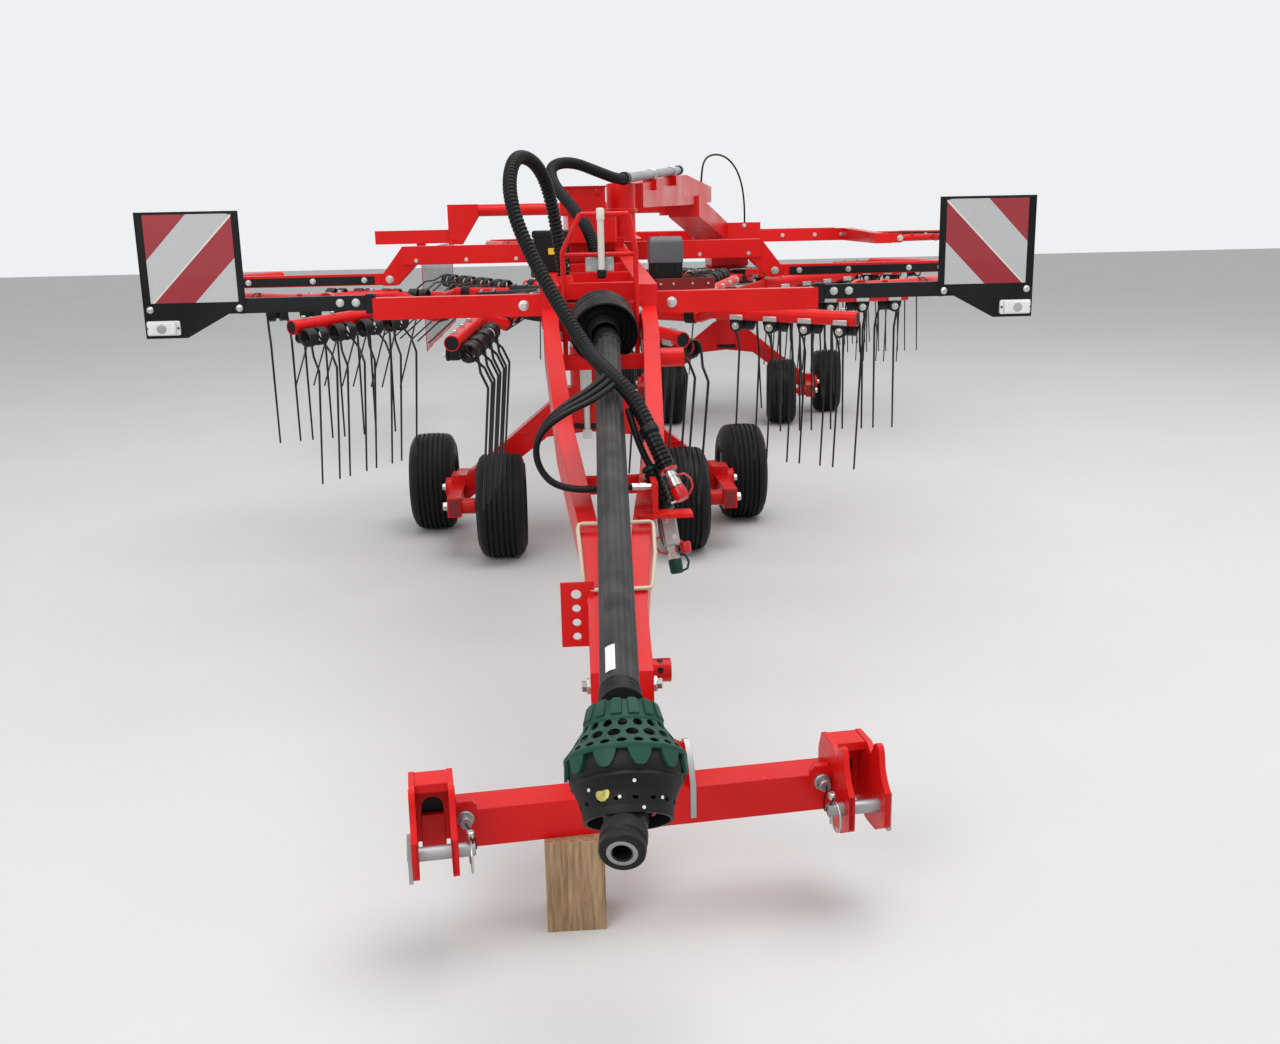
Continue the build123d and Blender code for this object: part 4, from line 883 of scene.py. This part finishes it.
# Drive shaft: the fluted guard, its bell, its yoke and the cup where it enters the frame
SHAFT_REAR, SHAFT_FRONT = Vector((0.013, -1.955, 1.072)), Vector((-0.0454, -3.5317, 0.5864))
shaft_run = (SHAFT_FRONT - SHAFT_REAR).normalized()
shaft_length = (SHAFT_FRONT - SHAFT_REAR).length
GUARD_RADIUS, FLUTE_DEPTH, FLUTES, GUARD_SIDES = 0.037, 0.0021, 12, 96
GUARD_STEPS, NECK_STEPS, SLEEVE_STEPS = 24, 48, 24
guard_tube = Shape(FRONT).use(guard_plastic)


def flute(point, side):
    """The guard tube's radius, with its shallow flutes."""
    wave = math.cos(2 * math.pi * FLUTES * side / GUARD_SIDES)
    return GUARD_RADIUS - FLUTE_DEPTH * (0.5 - 0.5 * wave) ** 2


guard_tube.tube([along(SHAFT_REAR, shaft_run, shaft_length * k / GUARD_STEPS)
    for k in range(GUARD_STEPS + 1)], flute, GUARD_SIDES)
neck = [along(SHAFT_REAR, shaft_run, -0.004)]
neck += bent_line((SHAFT_REAR, Vector((0.004, -1.880, 1.100)), Vector((0.0, -1.772, 1.132))), NECK_STEPS, 1)
guard_tube.use(black_plastic).tube(neck, [0.040 - 0.012 * k / NECK_STEPS - (0.004 if k % 4 > 1 else 0)
    for k in range(NECK_STEPS + 1)], 40)
guard_tube.lathe(SHAFT_REAR, shaft_run, mm((-2, 36), (-2, 40.5), (30, 40.5), (36, 37.5), (36, 36)), 40)
upward = (Z - shaft_run * shaft_run.z).normalized()
label = []
for turn in (11, 21, 31, 42):
    out = Matrix.Rotation(math.radians(turn), 4, shaft_run) @ upward
    label.append(guard_tube.points([along(SHAFT_FRONT, shaft_run, -t, out, 0.0376) for t in (0.032, 0.108)]))
guard_tube.use(white_plastic)
for first, second in zip(label, label[1:]):
    guard_tube.face((first[0], first[1], second[1], second[0]))

# The bell, and the ribbed sleeve that joins it to the guard tube
BELL_CENTRE, BELL_TILT = Vector((-0.045, -3.667, 0.512)), math.radians(51)
BELL_DIR = Vector((0, -math.cos(BELL_TILT), -math.sin(BELL_TILT)))
sleeve = bent_line((SHAFT_FRONT - shaft_run * 0.012, SHAFT_FRONT + shaft_run * 0.035,
    BELL_CENTRE - BELL_DIR * 0.094), SLEEVE_STEPS)
guard_tube.use(black_plastic).tube(sleeve,
    [0.0385 + 0.006 * k / SLEEVE_STEPS - (0.0025 if k % 4 > 1 else 0) for k in range(SLEEVE_STEPS + 1)], 40)
guard_tube.done("shaft_guard_dressed", "chassis", "black_plastic", ["shaft_guard"], 50)

AT_BELL = BELL_CENTRE, BELL_DIR
LUGS, LUG_HALF, PETALS = 14, math.radians(8.6), 11
bell = Shape(FRONT).use(green_plastic)
across, other = across_of(BELL_DIR)
bell.lathe(*AT_BELL, mm((-100, 44), (-100, 60), (-70, 68), (-68, 70), (-64, 70), (-64, 62), (-96, 44)), 48)
for k in range(LUGS):
    a = 2 * math.pi * k / LUGS
    rings = []
    for t, r, w in ((-0.104, 0.0585, 0.75), (-0.100, 0.0635, 1), (-0.074, 0.0705, 1), (-0.070, 0.0665, 0.8)):
        ring = []
        for da, dr in ((-1, -0.004), (-0.86, 0), (0.86, 0), (1, -0.004), (0.9, -0.010), (-0.9, -0.010)):
            b = a + da * w * LUG_HALF
            ring.append(BELL_CENTRE + BELL_DIR * t + (across * math.cos(b) + other * math.sin(b)) * (r + dr))
        rings.append(ring)
    bell.loft(rings)
bell.pierced(*AT_BELL, (-0.066, 0.068), (-0.046, 0.081), 18, (0.66, 0.74), turn=0.1)
bell.pierced(*AT_BELL, (-0.046, 0.081), (-0.026, 0.094), 18, (0.74, 0.72), turn=0.27)
bell.pierced(*AT_BELL, (-0.026, 0.094), (-0.012, 0.1055), 22, (0.62, 0.62))
bell.lathe(*AT_BELL, mm((-12, 98.5), (-12, 105.8), (-6, 106), (-4, 104.5), (-4, 98.5)), 66)
for k in range(PETALS):
    a = 2 * math.pi * (k + 0.5) / PETALS
    ring_pairs = []
    for t, wide in ((-0.006, 0.94), (0.004, 0.86), (0.014, 0.66), (0.022, 0.40), (0.024, 0.20)):
        ring = []
        for radius, way in ((0.1055, 1), (0.0995, -1)):
            for u in (-1, -0.5, 0, 0.5, 1):
                b = a + way * u * wide * math.pi / PETALS * 0.72
                ring.append(along(BELL_CENTRE, BELL_DIR, t, across * math.cos(b) + other * math.sin(b),
                    radius))
        ring_pairs.append(ring)
    bell.loft(ring_pairs)
bell.use(black_plastic).lathe(*AT_BELL, mm((-60, 58), (-20, 88), (-4, 99), (14, 99.5), (26, 96.5), (30, 93),
    (34, 95.5), (37, 95.5), (40, 91.5), (60, 83), (60.5, 78), (20, 86), (-20, 80), (-60, 54)), 66)
bell.pierced(*AT_BELL, (0.060, 0.0830), (0.082, 0.0770), 16, (0.34, 0.34), turn=math.pi / 2)
bell.pierced(*AT_BELL, (0.038, 0.0925), (0.060, 0.0830), 8, (0.16, 0.36), turn=math.pi / 2)
bell.lathe(*AT_BELL, mm((82, 72.5), (82, 77), (90, 76.5), (95, 75.5), (95, 70)), 66)
bell_front = (Z - BELL_DIR * BELL_DIR.z).normalized()
bell_side = BELL_DIR.cross(bell_front)


def on_bell(t, turn, radius):
    """A place on the bell, turned from the top of its front face, with its outward direction."""
    out = bell_front * math.cos(turn) + bell_side * math.sin(turn)
    return BELL_CENTRE + BELL_DIR * t + out * radius, out


place, out = on_bell(0.062, 0.55, 0.080)
bell.use(brass).turn(place, out, mm((0, 13), (3, 13), (4, 10), (4, 4), (6, 4), (6, 0)), 10)
for t, turn, r in ((0.052, 0.85, 0.0862), (0.070, 0.20, 0.0798), (0.070, -0.75, 0.0798),
        (0.047, -0.10, 0.0886), (0.088, -0.30, 0.0766)):
    place, out = on_bell(t, turn, r)
    bell.use(pale_plastic).turn(place, out, mm((0, 3.2), (1.5, 3), (2, 0)), 10)
bell.done("shaft_bell_dressed", "chassis", "green_plastic", ["shaft_bell"], 40)

YOKE_FRONT, YOKE_DIR = Vector((-0.062, -3.832, 0.438)), Vector((-0.1371, -0.9534, -0.2686)).normalized()
yoke = Shape(FRONT).use(black_plastic)
yoke.lathe(YOKE_FRONT, YOKE_DIR, mm((-50, 32.2), (-50, 37.5), (-44, 39.5), (-26, 39.5), (-22, 36.5),
    (-18, 36.5), (-14, 39), (-3, 38.5), (0, 36), (0, 27), (-4, 26.2), (-4, 32.2)), 48)
yoke.use(bare_steel).turn(YOKE_FRONT, YOKE_DIR, mm((0.2, 25.5), (0.8, 24.5), (0.8, 20.5), (0.2, 18.2)), 48)
across, other = across_of(YOKE_DIR)
SPLINES = 21
for k in range(SPLINES):
    a = 2 * math.pi * k / SPLINES
    out, tangent = across * math.cos(a) + other * math.sin(a), -across * math.sin(a) + other * math.cos(a)
    ends = []
    for t in (-0.054, -0.001):
        base = YOKE_FRONT + YOKE_DIR * t + out * 0.0178
        ends.append([base - tangent * 0.0012, base + tangent * 0.0012,
            base + tangent * 0.0008 - out * 0.0016, base - tangent * 0.0008 - out * 0.0016])
    yoke.use(bare_steel).loft(ends)
yoke.done("shaft_yoke_collar", "chassis", "black_paint")

cup = Shape(FRONT).use(black_plastic)
CUP_STEPS = 44
cup_path = bent_line((Vector((0, -1.766, 1.132)), Vector((0, -1.850, 1.132)),
    Vector((0.006, -1.935, 1.098))), CUP_STEPS)


def cup_radius(point, side):
    """The cup's radius: a dome with grooves across it."""
    t = point / CUP_STEPS
    dome = 0.056 + 0.044 * math.sin(min(1, t / 0.62) * math.pi / 2)
    return dome - (0.0032 if point % 5 == 3 and t < 0.85 else 0)


cup.tube(cup_path, cup_radius, 64, cap=False)
cup_mouth, mouth_run = cup_path[-1], (cup_path[-1] - cup_path[-2]).normalized()
cup.turn(cup_mouth, mouth_run, mm((-4, 99.5), (2, 101.5), (8, 100), (10, 96), (6, 92), (-6, 90), (-10, 84),
    (-4, 80), (-8, 74), (-14, 70), (-8, 65), (-10, 59), (-16, 55), (-8, 50), (4, 44), (10, 38.5)), 64)
for turn in (-0.08, 0.14):
    out = Vector((math.sin(turn), 0, math.cos(turn)))
    cup.use(pale_plastic).turn(cup_mouth + out * 0.078 + mouth_run * -0.003, mouth_run,
        mm((0, 3.4), (2, 3), (2.6, 0)), 10)
cup.use(black_paint).turn((0, -1.758, 1.132), Y, mm((-8, 0), (-8, 62), (-6, 64), (-7.6, 66)), 40)
cup.done("shaft_cup_dressed", "chassis", "black_plastic", ["shaft_tunnel"], 40)

# Headstock: horns on the cheeks, linch pins with their lanyards, studs and the gusset
HITCH_Y, HITCH_Z, HITCH_X = -3.366, 0.236, 0.435
head = Shape(HITCHED)
for side in (-1, 1):
    for cheek in (-0.038, 0.038):
        x = side * HITCH_X + cheek
        head.use(red_paint).slab((x, 0, 0), Y, Z, mm((-3300, 300), (-3312, 318), (-3326, 342), (-3334, 356),
            (-3343, 362), (-3354, 361), (-3362, 353), (-3365, 340), (-3369, 318), (-3380, 298),
            (-3402, 276), (-3402, 206), (-3396, 198), (-3372, 194), (-3340, 230)), 0.0127)
        head.lathe((x - 0.0068, HITCH_Y, HITCH_Z), X, wall(0, 13.6, 14.6, 27), 28)
    web_x = side * HITCH_X
    head.use(red_paint).block((web_x - 0.0245, -3.2420, 0.1735), (web_x + 0.0245, -3.2300, 0.2560), 0.001)
    head.use(black_paint).block((web_x - 0.0250, -3.2290, 0.2300), (web_x + 0.0250, -3.2270, 0.3000), 0.0005)
    outside = side * (HITCH_X + 0.0443 + 0.008)
    head.use(galvanised).turn((outside, HITCH_Y, HITCH_Z), side * X, capped(12, 1.2, 9, 1.8), 20)
    head.use(galvanised).turn((side * 0.3592, HITCH_Y, HITCH_Z), -side * X,
        mm((-1, 14.1), (2, 11.5), (2, 0)), 24)
    stud = Vector((side * 0.372, -3.2865, 0.262))
    head.use(red_paint).slab(stud + Vector((0, 0.006, 0)), X, Z,
        mm((-20, -36), (20, -36), (24, -26), (24, 26), (16, 36), (-16, 36), (-24, 26), (-24, -26)), 0.014)
    head.use(galvanised).turn(stud, -Y, mm((0, 18), (6, 18), (8, 16), (8, 13), (24, 13), (26, 11), (26, 0)),
        24)
head.slab((0.095, 0, 0), Y, Z, mm((-3288, 210), (-3288, 282), (-3272, 318), (-3244, 352), (-3226, 360),
    (-3208, 354), (-3198, 336), (-3206, 276), (-3284, 276), (-3284, 210)), 0.012)
head.use(red_paint).slab((0.095, 0, 0), Y, Z, mm((-3286.2, 214), (-3286.2, 280), (-3270, 316), (-3242, 350),
    (-3226, 358), (-3210, 352), (-3200, 336), (-3204, 276), (-3285.5, 276)), 0.014)
head.slab((0.070, -3.225, 0.335), X, Z, mm((-26, -58), (30, -58), (30, 10), (-26, 40)), 0.010)
head.use(zinc).turn((0, -3.141, 0.4035), Z, capped(19.8, 4, 16, 7), 24)
head.use(zinc).tube(mm((-34, -3141, 399), (34, -3141, 399)), 0.004, 8)
head.done("headstock_details", "headstock", "red_paint")

# The lanyard's slack, as distances inwards, forwards and up from the stud
LANYARD = mm((0, 0, 0), (0, 16, 4), (14, 30, -12), (18, 46, -36), (13, 58, -20))
HITCHED_TO_FRONT = FRONT.inverted() @ HITCHED
for side, name in SIDES:
    pin = Shape(HITCHED).use(zinc)
    x = side * 0.3665
    ring = []
    for k in range(33):
        a = 2 * math.pi * k / 32
        ring.append((x, HITCH_Y - 0.0255 + 0.027 * math.cos(a), HITCH_Z - 0.004 + 0.030 * math.sin(a)))
    pin.tube(ring, 0.0021, 8, cap=False)
    pin.tube([(x, HITCH_Y, HITCH_Z + 0.030), (x, HITCH_Y, HITCH_Z - 0.030)], 0.0042, 10)
    pin.turn((x, HITCH_Y, HITCH_Z + 0.026), Z, mm((0, 4.2), (0, 8.5), (10, 8.5), (12, 6), (12, 0)), 16)
    linch = pin.done(f"linch_pin_{name}", "headstock", "galvanised")
    lanyard_route = [Vector((side * (0.372 - inward), -3.3095 - y, 0.262 + z)) for inward, y, z in LANYARD]
    lanyard_route.append(Vector((x, HITCH_Y - 0.0095, HITCH_Z + 0.030)))
    lanyard_line = smooth_route([HITCHED_TO_FRONT @ point for point in lanyard_route])
    lanyard = Shape().use(hose_rubber)
    lanyard.tube(paced(lanyard_line, 0.004), 0.0016, 8)
    lanyard_piece = lanyard.done(f"lanyard_{name}", "headstock", "hose_black")

# Drawbar: clip rods over the rails, bolts, stub tube and plate edges
bar = Shape(FRONT)
CLIP_ROD = mm((40, -2672, 699), (88, -2672, 700), (97.5, -2674, 698), (100.5, -2682, 689),
    (96.5, -2760, 643), (88.5, -2846, 589), (84, -2856, 585.5), (74, -2860, 586.5), (34, -2862, 586.5))
for side, offset, front_shift in ((-1, 0, 0.004), (1, -0.016, 0.006)):
    bar.use(beige_steel).tube([(side * x + offset - (front_shift if y < -2.8 else 0), y, z)
        for x, y, z in CLIP_ROD], 0.0052, 10)
for x, side in ((-0.0905, -1), (0.0505, 1)):
    bar.use(zinc).turn((x, -3.062, 0.428), side * X, mm((-3, 19), (4, 19), (4, 13), (16, 13), (16, 0)), 6)
    bar.bolt((x + side * 0.004, -3.062, 0.428), side * X, 0.013)
for a in (0.33, 1.25):
    out = Vector((0, -math.sin(a), math.cos(a)))
    bar.use(black_paint).turn(Vector((0.072, -2.950, 0.417)) + out * 0.0268, out,
        mm((0, 7.2), (0.6, 7), (0.6, 0)), 16)
bar.use(black_paint).turn((0.0972, -2.950, 0.417), X, mm((0, 22.5), (0.4, 22.5), (0.4, 0)), 28)
bar.turn((0.2402, -1.920, 1.020), X, mm((0, 23.5), (0.4, 23.5), (0.4, 0)), 28)
bar.use(zinc)
for z in (1.080, 1.150):
    for side in (-1, 1):
        bar.bolt((side * 0.118, -1.7652, z), -Y, 0.010)
for side in (-1, 1):
    bar.use(zinc).turn((side * 0.234, -1.6332, 1.164), -Y, capped(16.5, 2, 15, 3), 24)
    bar.bolt((side * 0.234, -1.6362, 1.164), -Y, 0.0105, washer=False)
bar.done("drawbar_details", "chassis", "red_paint")

panels = Shape(FRONT)
for side in (-1, 1):
    x0, x1 = sorted((side * 0.700, side * 0.728))
    panels.use(black_paint).block((x0, -1.6285, 1.150), (x1, -1.5715, 1.212), 0.003)
    for x in (0.757, 0.806):
        panels.use(zinc).bolt((side * x, -1.6232, 1.186), -Y, 0.0095)
    panels.use(black_paint).block((side * 1.110 - 0.010, -1.6252, 1.160),
        (side * 1.110 + 0.010, -1.5765, 1.2085), 0.002)
    panels.use(zinc).bolt((side * 0.860, -1.505, 1.190), Y, 0.015)
panels.done("panel_arm_details", "chassis", "black_paint")

# Guards: dark strips on the folding bars, knuckle washers and clamps on the hoops
for unit, place, level, knuckle_y in (("front", FRONT, 1.190, -1.532), ("rear", REAR, 1.290, -1.440)):
    for side, name in SIDES:
        strip = Shape(place)
        x0, x1 = sorted((side * 0.930, side * 1.655))
        strip.use(black_paint).block((x0, 0.0715, level - 0.021), (x1, 0.0752, level + 0.015), 0.001)
        for x in (0.975, 1.200, 1.480, 1.625):
            strip.use(zinc).bolt((side * x, 0.0715, level - 0.002), -Y, 0.0095)
        strip.use(red_paint).block((side * 0.945 - 0.006, knuckle_y - 0.020, level + 0.012),
            (side * 0.945 + 0.006, knuckle_y + 0.020, level + 0.024), 0.002)
        for x, y in ((1.150, -1.330), (1.560, -0.700)):
            strip.use(black_plastic).lathe((side * (x - 0.040), y - 0.060, level), (side * 0.545, 0.838, 0),
                wall(-6, 6, 20.8, 22.8), 20)
        strip.done(f"guard_{unit}_{name}_details", f"guard_{unit}_{name}", "black_paint")

# Main frame: handle in the cage, control box, valve box and bolts
RAIL_SLOPE = 0.055
top = Shape(FRONT)
top.use(pale_plastic).turn((0.008, -1.800, 1.270), Z,
    mm((0, 0), (0, 10), (150, 10.2), (152, 12.2), (182, 12.4), (186, 10), (187, 0)), 20)
top.use(black_paint).turn((0.008, -1.800, 1.250), Z,
    mm((0, 0), (0, 12), (4, 15), (22, 15), (26, 11), (26, 0)), 20)
top.use(galvanised).slab((0.0, -1.7775, 1.296), X, Z, mm((-40, -26), (46, -26), (46, 26), (-40, 26)), 0.005)
for x in (-0.028, 0.034):
    for z in (1.280, 1.312):
        top.use(zinc).bolt((x, -1.780, z), -Y, 0.0065)
top.use(black_plastic).block((-0.206, -1.295, 1.366), (-0.074, -1.124, 1.392), 0.005)
top.use(yellow_label).slab((-0.140, -1.2906, 1.336), X, Z, oblong(0.012, 0.024), 0.0008)
for x in (-0.190, -0.090):
    top.use(zinc).bolt((x, -1.2902, 1.275), -Y, 0.006)
for side in (-1, 1):
    for y in (-1.20, -0.86, -0.24, 0.20):
        top.use(zinc).bolt((side * 0.1802, y, 1.188 + RAIL_SLOPE * (y + 1.74)), side * X, 0.012)
    for x in (0.30, 0.52, 0.74):
        top.use(zinc).bolt((side * x, 0.0596 if x > 0.7 else 0.0598, 1.268), -Y, 0.010)
    top.use(zinc).bolt((side * 0.860, 0.0520, 1.190), -Y, 0.013)
for x in (-0.07, 0.053):
    for z in (1.465, 1.535):
        top.use(red_paint).turn((x, -0.4298, z), -Y, capped(14, 5, 12, 6), 20)
top.use(red_paint).slab((-0.009, -0.280, 1.5565), X, Y,
    mm((-96, -158), (-80, -162), (80, -162), (96, -158), (96, 154), (-96, 154)), 0.006)
top.use(red_paint).turn((0.165, -0.060, 1.577), Z,
    mm((20, 0), (20, 30), (16, 36), (4, 40), (0, 58), (-1, 58)), 40)
top.use(dark_red).slab((0.345, -0.984, 1.190), X, Z, oblong(0.110, 0.020), 0.006)
for x in (0.255, 0.302, 0.372, 0.430):
    top.use(zinc).turn((x, -0.987, 1.190), -Y, mm((0, 4.5), (2, 4), (2.6, 0)), 12)
top.done("frame_details", "chassis", "red_paint")

valve = Shape(FRONT)
valve.use(black_plastic).block((0.2215, -0.9635, 1.1905), (0.3385, -0.8365, 1.274), 0.003)
lid = []
for half, front, rear, z in mm((60.5, -968, -832, 1266), (60.5, -968, -832, 1336), (57, -954, -836, 1356),
        (54, -948, -840, 1359.2)):
    lid.append([(0.280 - half, front, z), (0.280 + half, front, z), (0.280 + half, rear, z),
        (0.280 - half, rear, z)])
valve.use(dark_grey).loft(lid)
for x in (0.240, 0.320):
    valve.use(black_paint).block((x - 0.008, -0.9665, 1.226), (x + 0.008, -0.9615, 1.262), 0.001)
valve.done("valve_box_dressed", "chassis", "grey_plastic", ["valve_box"])

# Rear arm: label, clamps over the hose tube, its collar and cap
boom = Shape(FRONT)
label_right, label_out = Vector((0.2227, 0.975, 0)), Vector((-0.975, 0.2227, 0))
boom.use(yellow_label).slab(Vector((0.3085, 0.870, 1.562)) + label_out * 0.0006, label_right, Z,
    oblong(0.070, 0.040), 0.0012)
tube_front, tube_rear = Vector((0.165, -0.300, 1.590)), Vector((0.540, 1.150, 1.676))
tube_run = (tube_rear - tube_front).normalized()
boom.use(black_plastic).lathe(tube_front, tube_run,
    mm((-12, 20.2), (-12, 26.5), (45, 26.5), (50, 23.5), (50, 20.2)), 28)
boom.turn(tube_rear, tube_run, mm((-55, 20.2), (-55, 24.5), (6, 24.5), (10, 20), (10, 0)), 28)
side_way = tube_run.cross(Z).normalized()
up_way = side_way.cross(tube_run)
HOOP_RADIUS, HOOP_LEG = 0.0235, 0.026
for y in (0.330, 0.900):
    for shift in (-0.020, 0.020):
        middle = along(tube_front, tube_run, (y - tube_front.y) / tube_run.y + shift)
        bend = [(HOOP_RADIUS * math.cos(math.pi * k / 8), HOOP_RADIUS * math.sin(math.pi * k / 8))
            for k in range(9)]
        hoop = [(HOOP_RADIUS, -HOOP_LEG)] + bend + [(-HOOP_RADIUS, -HOOP_LEG)]
        boom.use(zinc).tube([along(middle, side_way, -x, up_way, z) for x, z in hoop], 0.0030, 8)
for y, x0 in ((1.700, 0.472), (2.050, 0.572)):
    boom.use(zinc).bolt((x0 - 0.0008, y, 1.560), (-0.96, 0.28, 0), 0.012)
boom.use(red_paint).lathe((0.165, -0.060, 1.4560), Z,
    mm((0, 62.2), (0, 70), (14, 70), (18, 65.5), (18, 62.2)), 40)
boom.use(zinc).turn((0.800, 2.370, 1.6320), Z, mm((-10, 12.5), (-10, 14.5), (10, 14.5), (14, 7.5),
    (14, 6.2)), 16)
boom.done("boom_details", "rear_arm", "red_paint")

rear_top = Shape(REAR)
for side in (-1, 1):
    for x in (0.30, 0.52, 0.74):
        rear_top.use(zinc).bolt((side * x, 0.0598, 1.290), -Y, 0.010)
        rear_top.bolt((side * min(x, 0.70), -0.6002, 1.310), -Y, 0.010)
    rear_top.bolt((side * 0.860, -1.4884, 1.290), -Y, 0.014)
    rear_top.bolt((side * 0.860, 0.0520, 1.290), -Y, 0.013)
for x in (-0.24, -0.10, 0.04):
    for z in (1.270, 1.380):
        rear_top.bolt((x, -0.6002, z), -Y, 0.010)
for x in (-0.11, 0.11):
    for y in (-0.45, -0.10, 0.25):
        rear_top.bolt((x, y, 1.348), Z, 0.012)
rear_top.use(black_paint).turn((0, 0, 1.348), Z, capped(75, 10, 68, 14), 36)
rear_top.done("rear_frame_details", "rear_arm", "red_paint")

# Carriages: pivot caps and axle bolts
for unit, place, body in (("front", FRONT, "chassis"), ("rear", STEERED, "rear_carriage")):
    gear = Shape(place)
    for side in (-1, 1):
        gear.use(red_paint).turn((side * 0.6518, 0, 0.255), side * X, capped(46, 4, 40, 8), 32)
        gear.use(zinc).bolt((side * 0.6598, 0, 0.255), side * X, 0.016)
        gear.bolt((side * 0.6302, -0.294, 0.2285), side * X, 0.020)
        gear.bolt((side * 0.5698, 0.294, 0.2285), -side * X, 0.020)
        for y in (-0.3464, 0.3444):
            gear.use(dark_red).block((side * 0.600 - 0.024, y, 0.196),
                (side * 0.600 + 0.024, y + 0.002, 0.268), 0.0004)
        for x in (0.30, 0.40):
            gear.use(red_paint).slab((side * x, -0.0512, 0.50 - (x - 0.3) * 0.62), X, Z,
                oblong(0.026, 0.005), 0.003)
    gear.use(black_paint).lathe((0, 0, 0.520), Z, mm((-4, 79), (-4, 85), (16, 85), (20, 79)), 36)
    gear.done(f"carriage_{unit}_details", body, "red_paint")

# Swath curtain: the hanging mesh, its hem and the straps that hold it on its rail
CURTAIN_X, CURTAIN_FRONT, CURTAIN_REAR, CURTAIN_TOP, CURTAIN_LOW = -0.900, 1.850, 4.150, 1.2578, 0.6975
CURTAIN_CELLS, CURTAIN_ROWS = 92, 14


def curtain_place(u, v):
    """A place on the hanging mesh, u along the rail and v from the rail to the hem."""
    sway = 0.0035 * v * math.sin(u * 19) + 0.0025 * v * v * math.sin(u * 43 + 1.3)
    return (CURTAIN_X + sway, CURTAIN_FRONT + (CURTAIN_REAR - CURTAIN_FRONT) * u,
        CURTAIN_TOP + (CURTAIN_LOW - CURTAIN_TOP) * v)


hanging = Shape(FRONT).use(curtain_mesh)
across_shares = [i / CURTAIN_CELLS for i in range(CURTAIN_CELLS + 1)]
down_shares = [j / CURTAIN_ROWS for j in range(CURTAIN_ROWS + 1)]
rows = [hanging.points([curtain_place(u, v) for u in across_shares]) for v in down_shares]
for first, second in zip(rows, rows[1:]):
    for i in range(CURTAIN_CELLS):
        hanging.face((first[i], first[i + 1], second[i + 1], second[i]))
curtain_piece = hanging.done("curtain_mesh_dressed", "curtain", "mesh", ["curtain_sheet"], 180)
hem = Shape(FRONT).use(red_plastic)
edges = (
    ([curtain_place(u, 0.975) for u in across_shares], 0, 0.012),
    ([curtain_place(0.006, v) for v in down_shares], 0.012, 0),
    ([curtain_place(0.994, v) for v in down_shares], 0.012, 0),
    ([curtain_place(u, 0.02) for u in across_shares], 0, 0.012),
)
for line, dy, dz in edges:
    hem.loft([[(x - 0.002, y - dy, z - dz), (x + 0.002, y - dy, z - dz), (x + 0.002, y + dy, z + dz),
        (x - 0.002, y + dy, z + dz)] for x, y, z in line])
STRAPS, FIRST_STRAP, STRAP_PITCH = 9, 1.95, 0.2625
for k in range(STRAPS):
    y = FIRST_STRAP + k * STRAP_PITCH
    hem.use(black_plastic).lathe((CURTAIN_X, y, 1.275), Y, wall(-14, 14, 17.2, 19.2), 24)
    hem.block((CURTAIN_X - 0.003, y - 0.014, 1.236), (CURTAIN_X + 0.003, y + 0.014, 1.259), 0.001)
hem_piece = hem.done("curtain_hem", "curtain", "mesh")
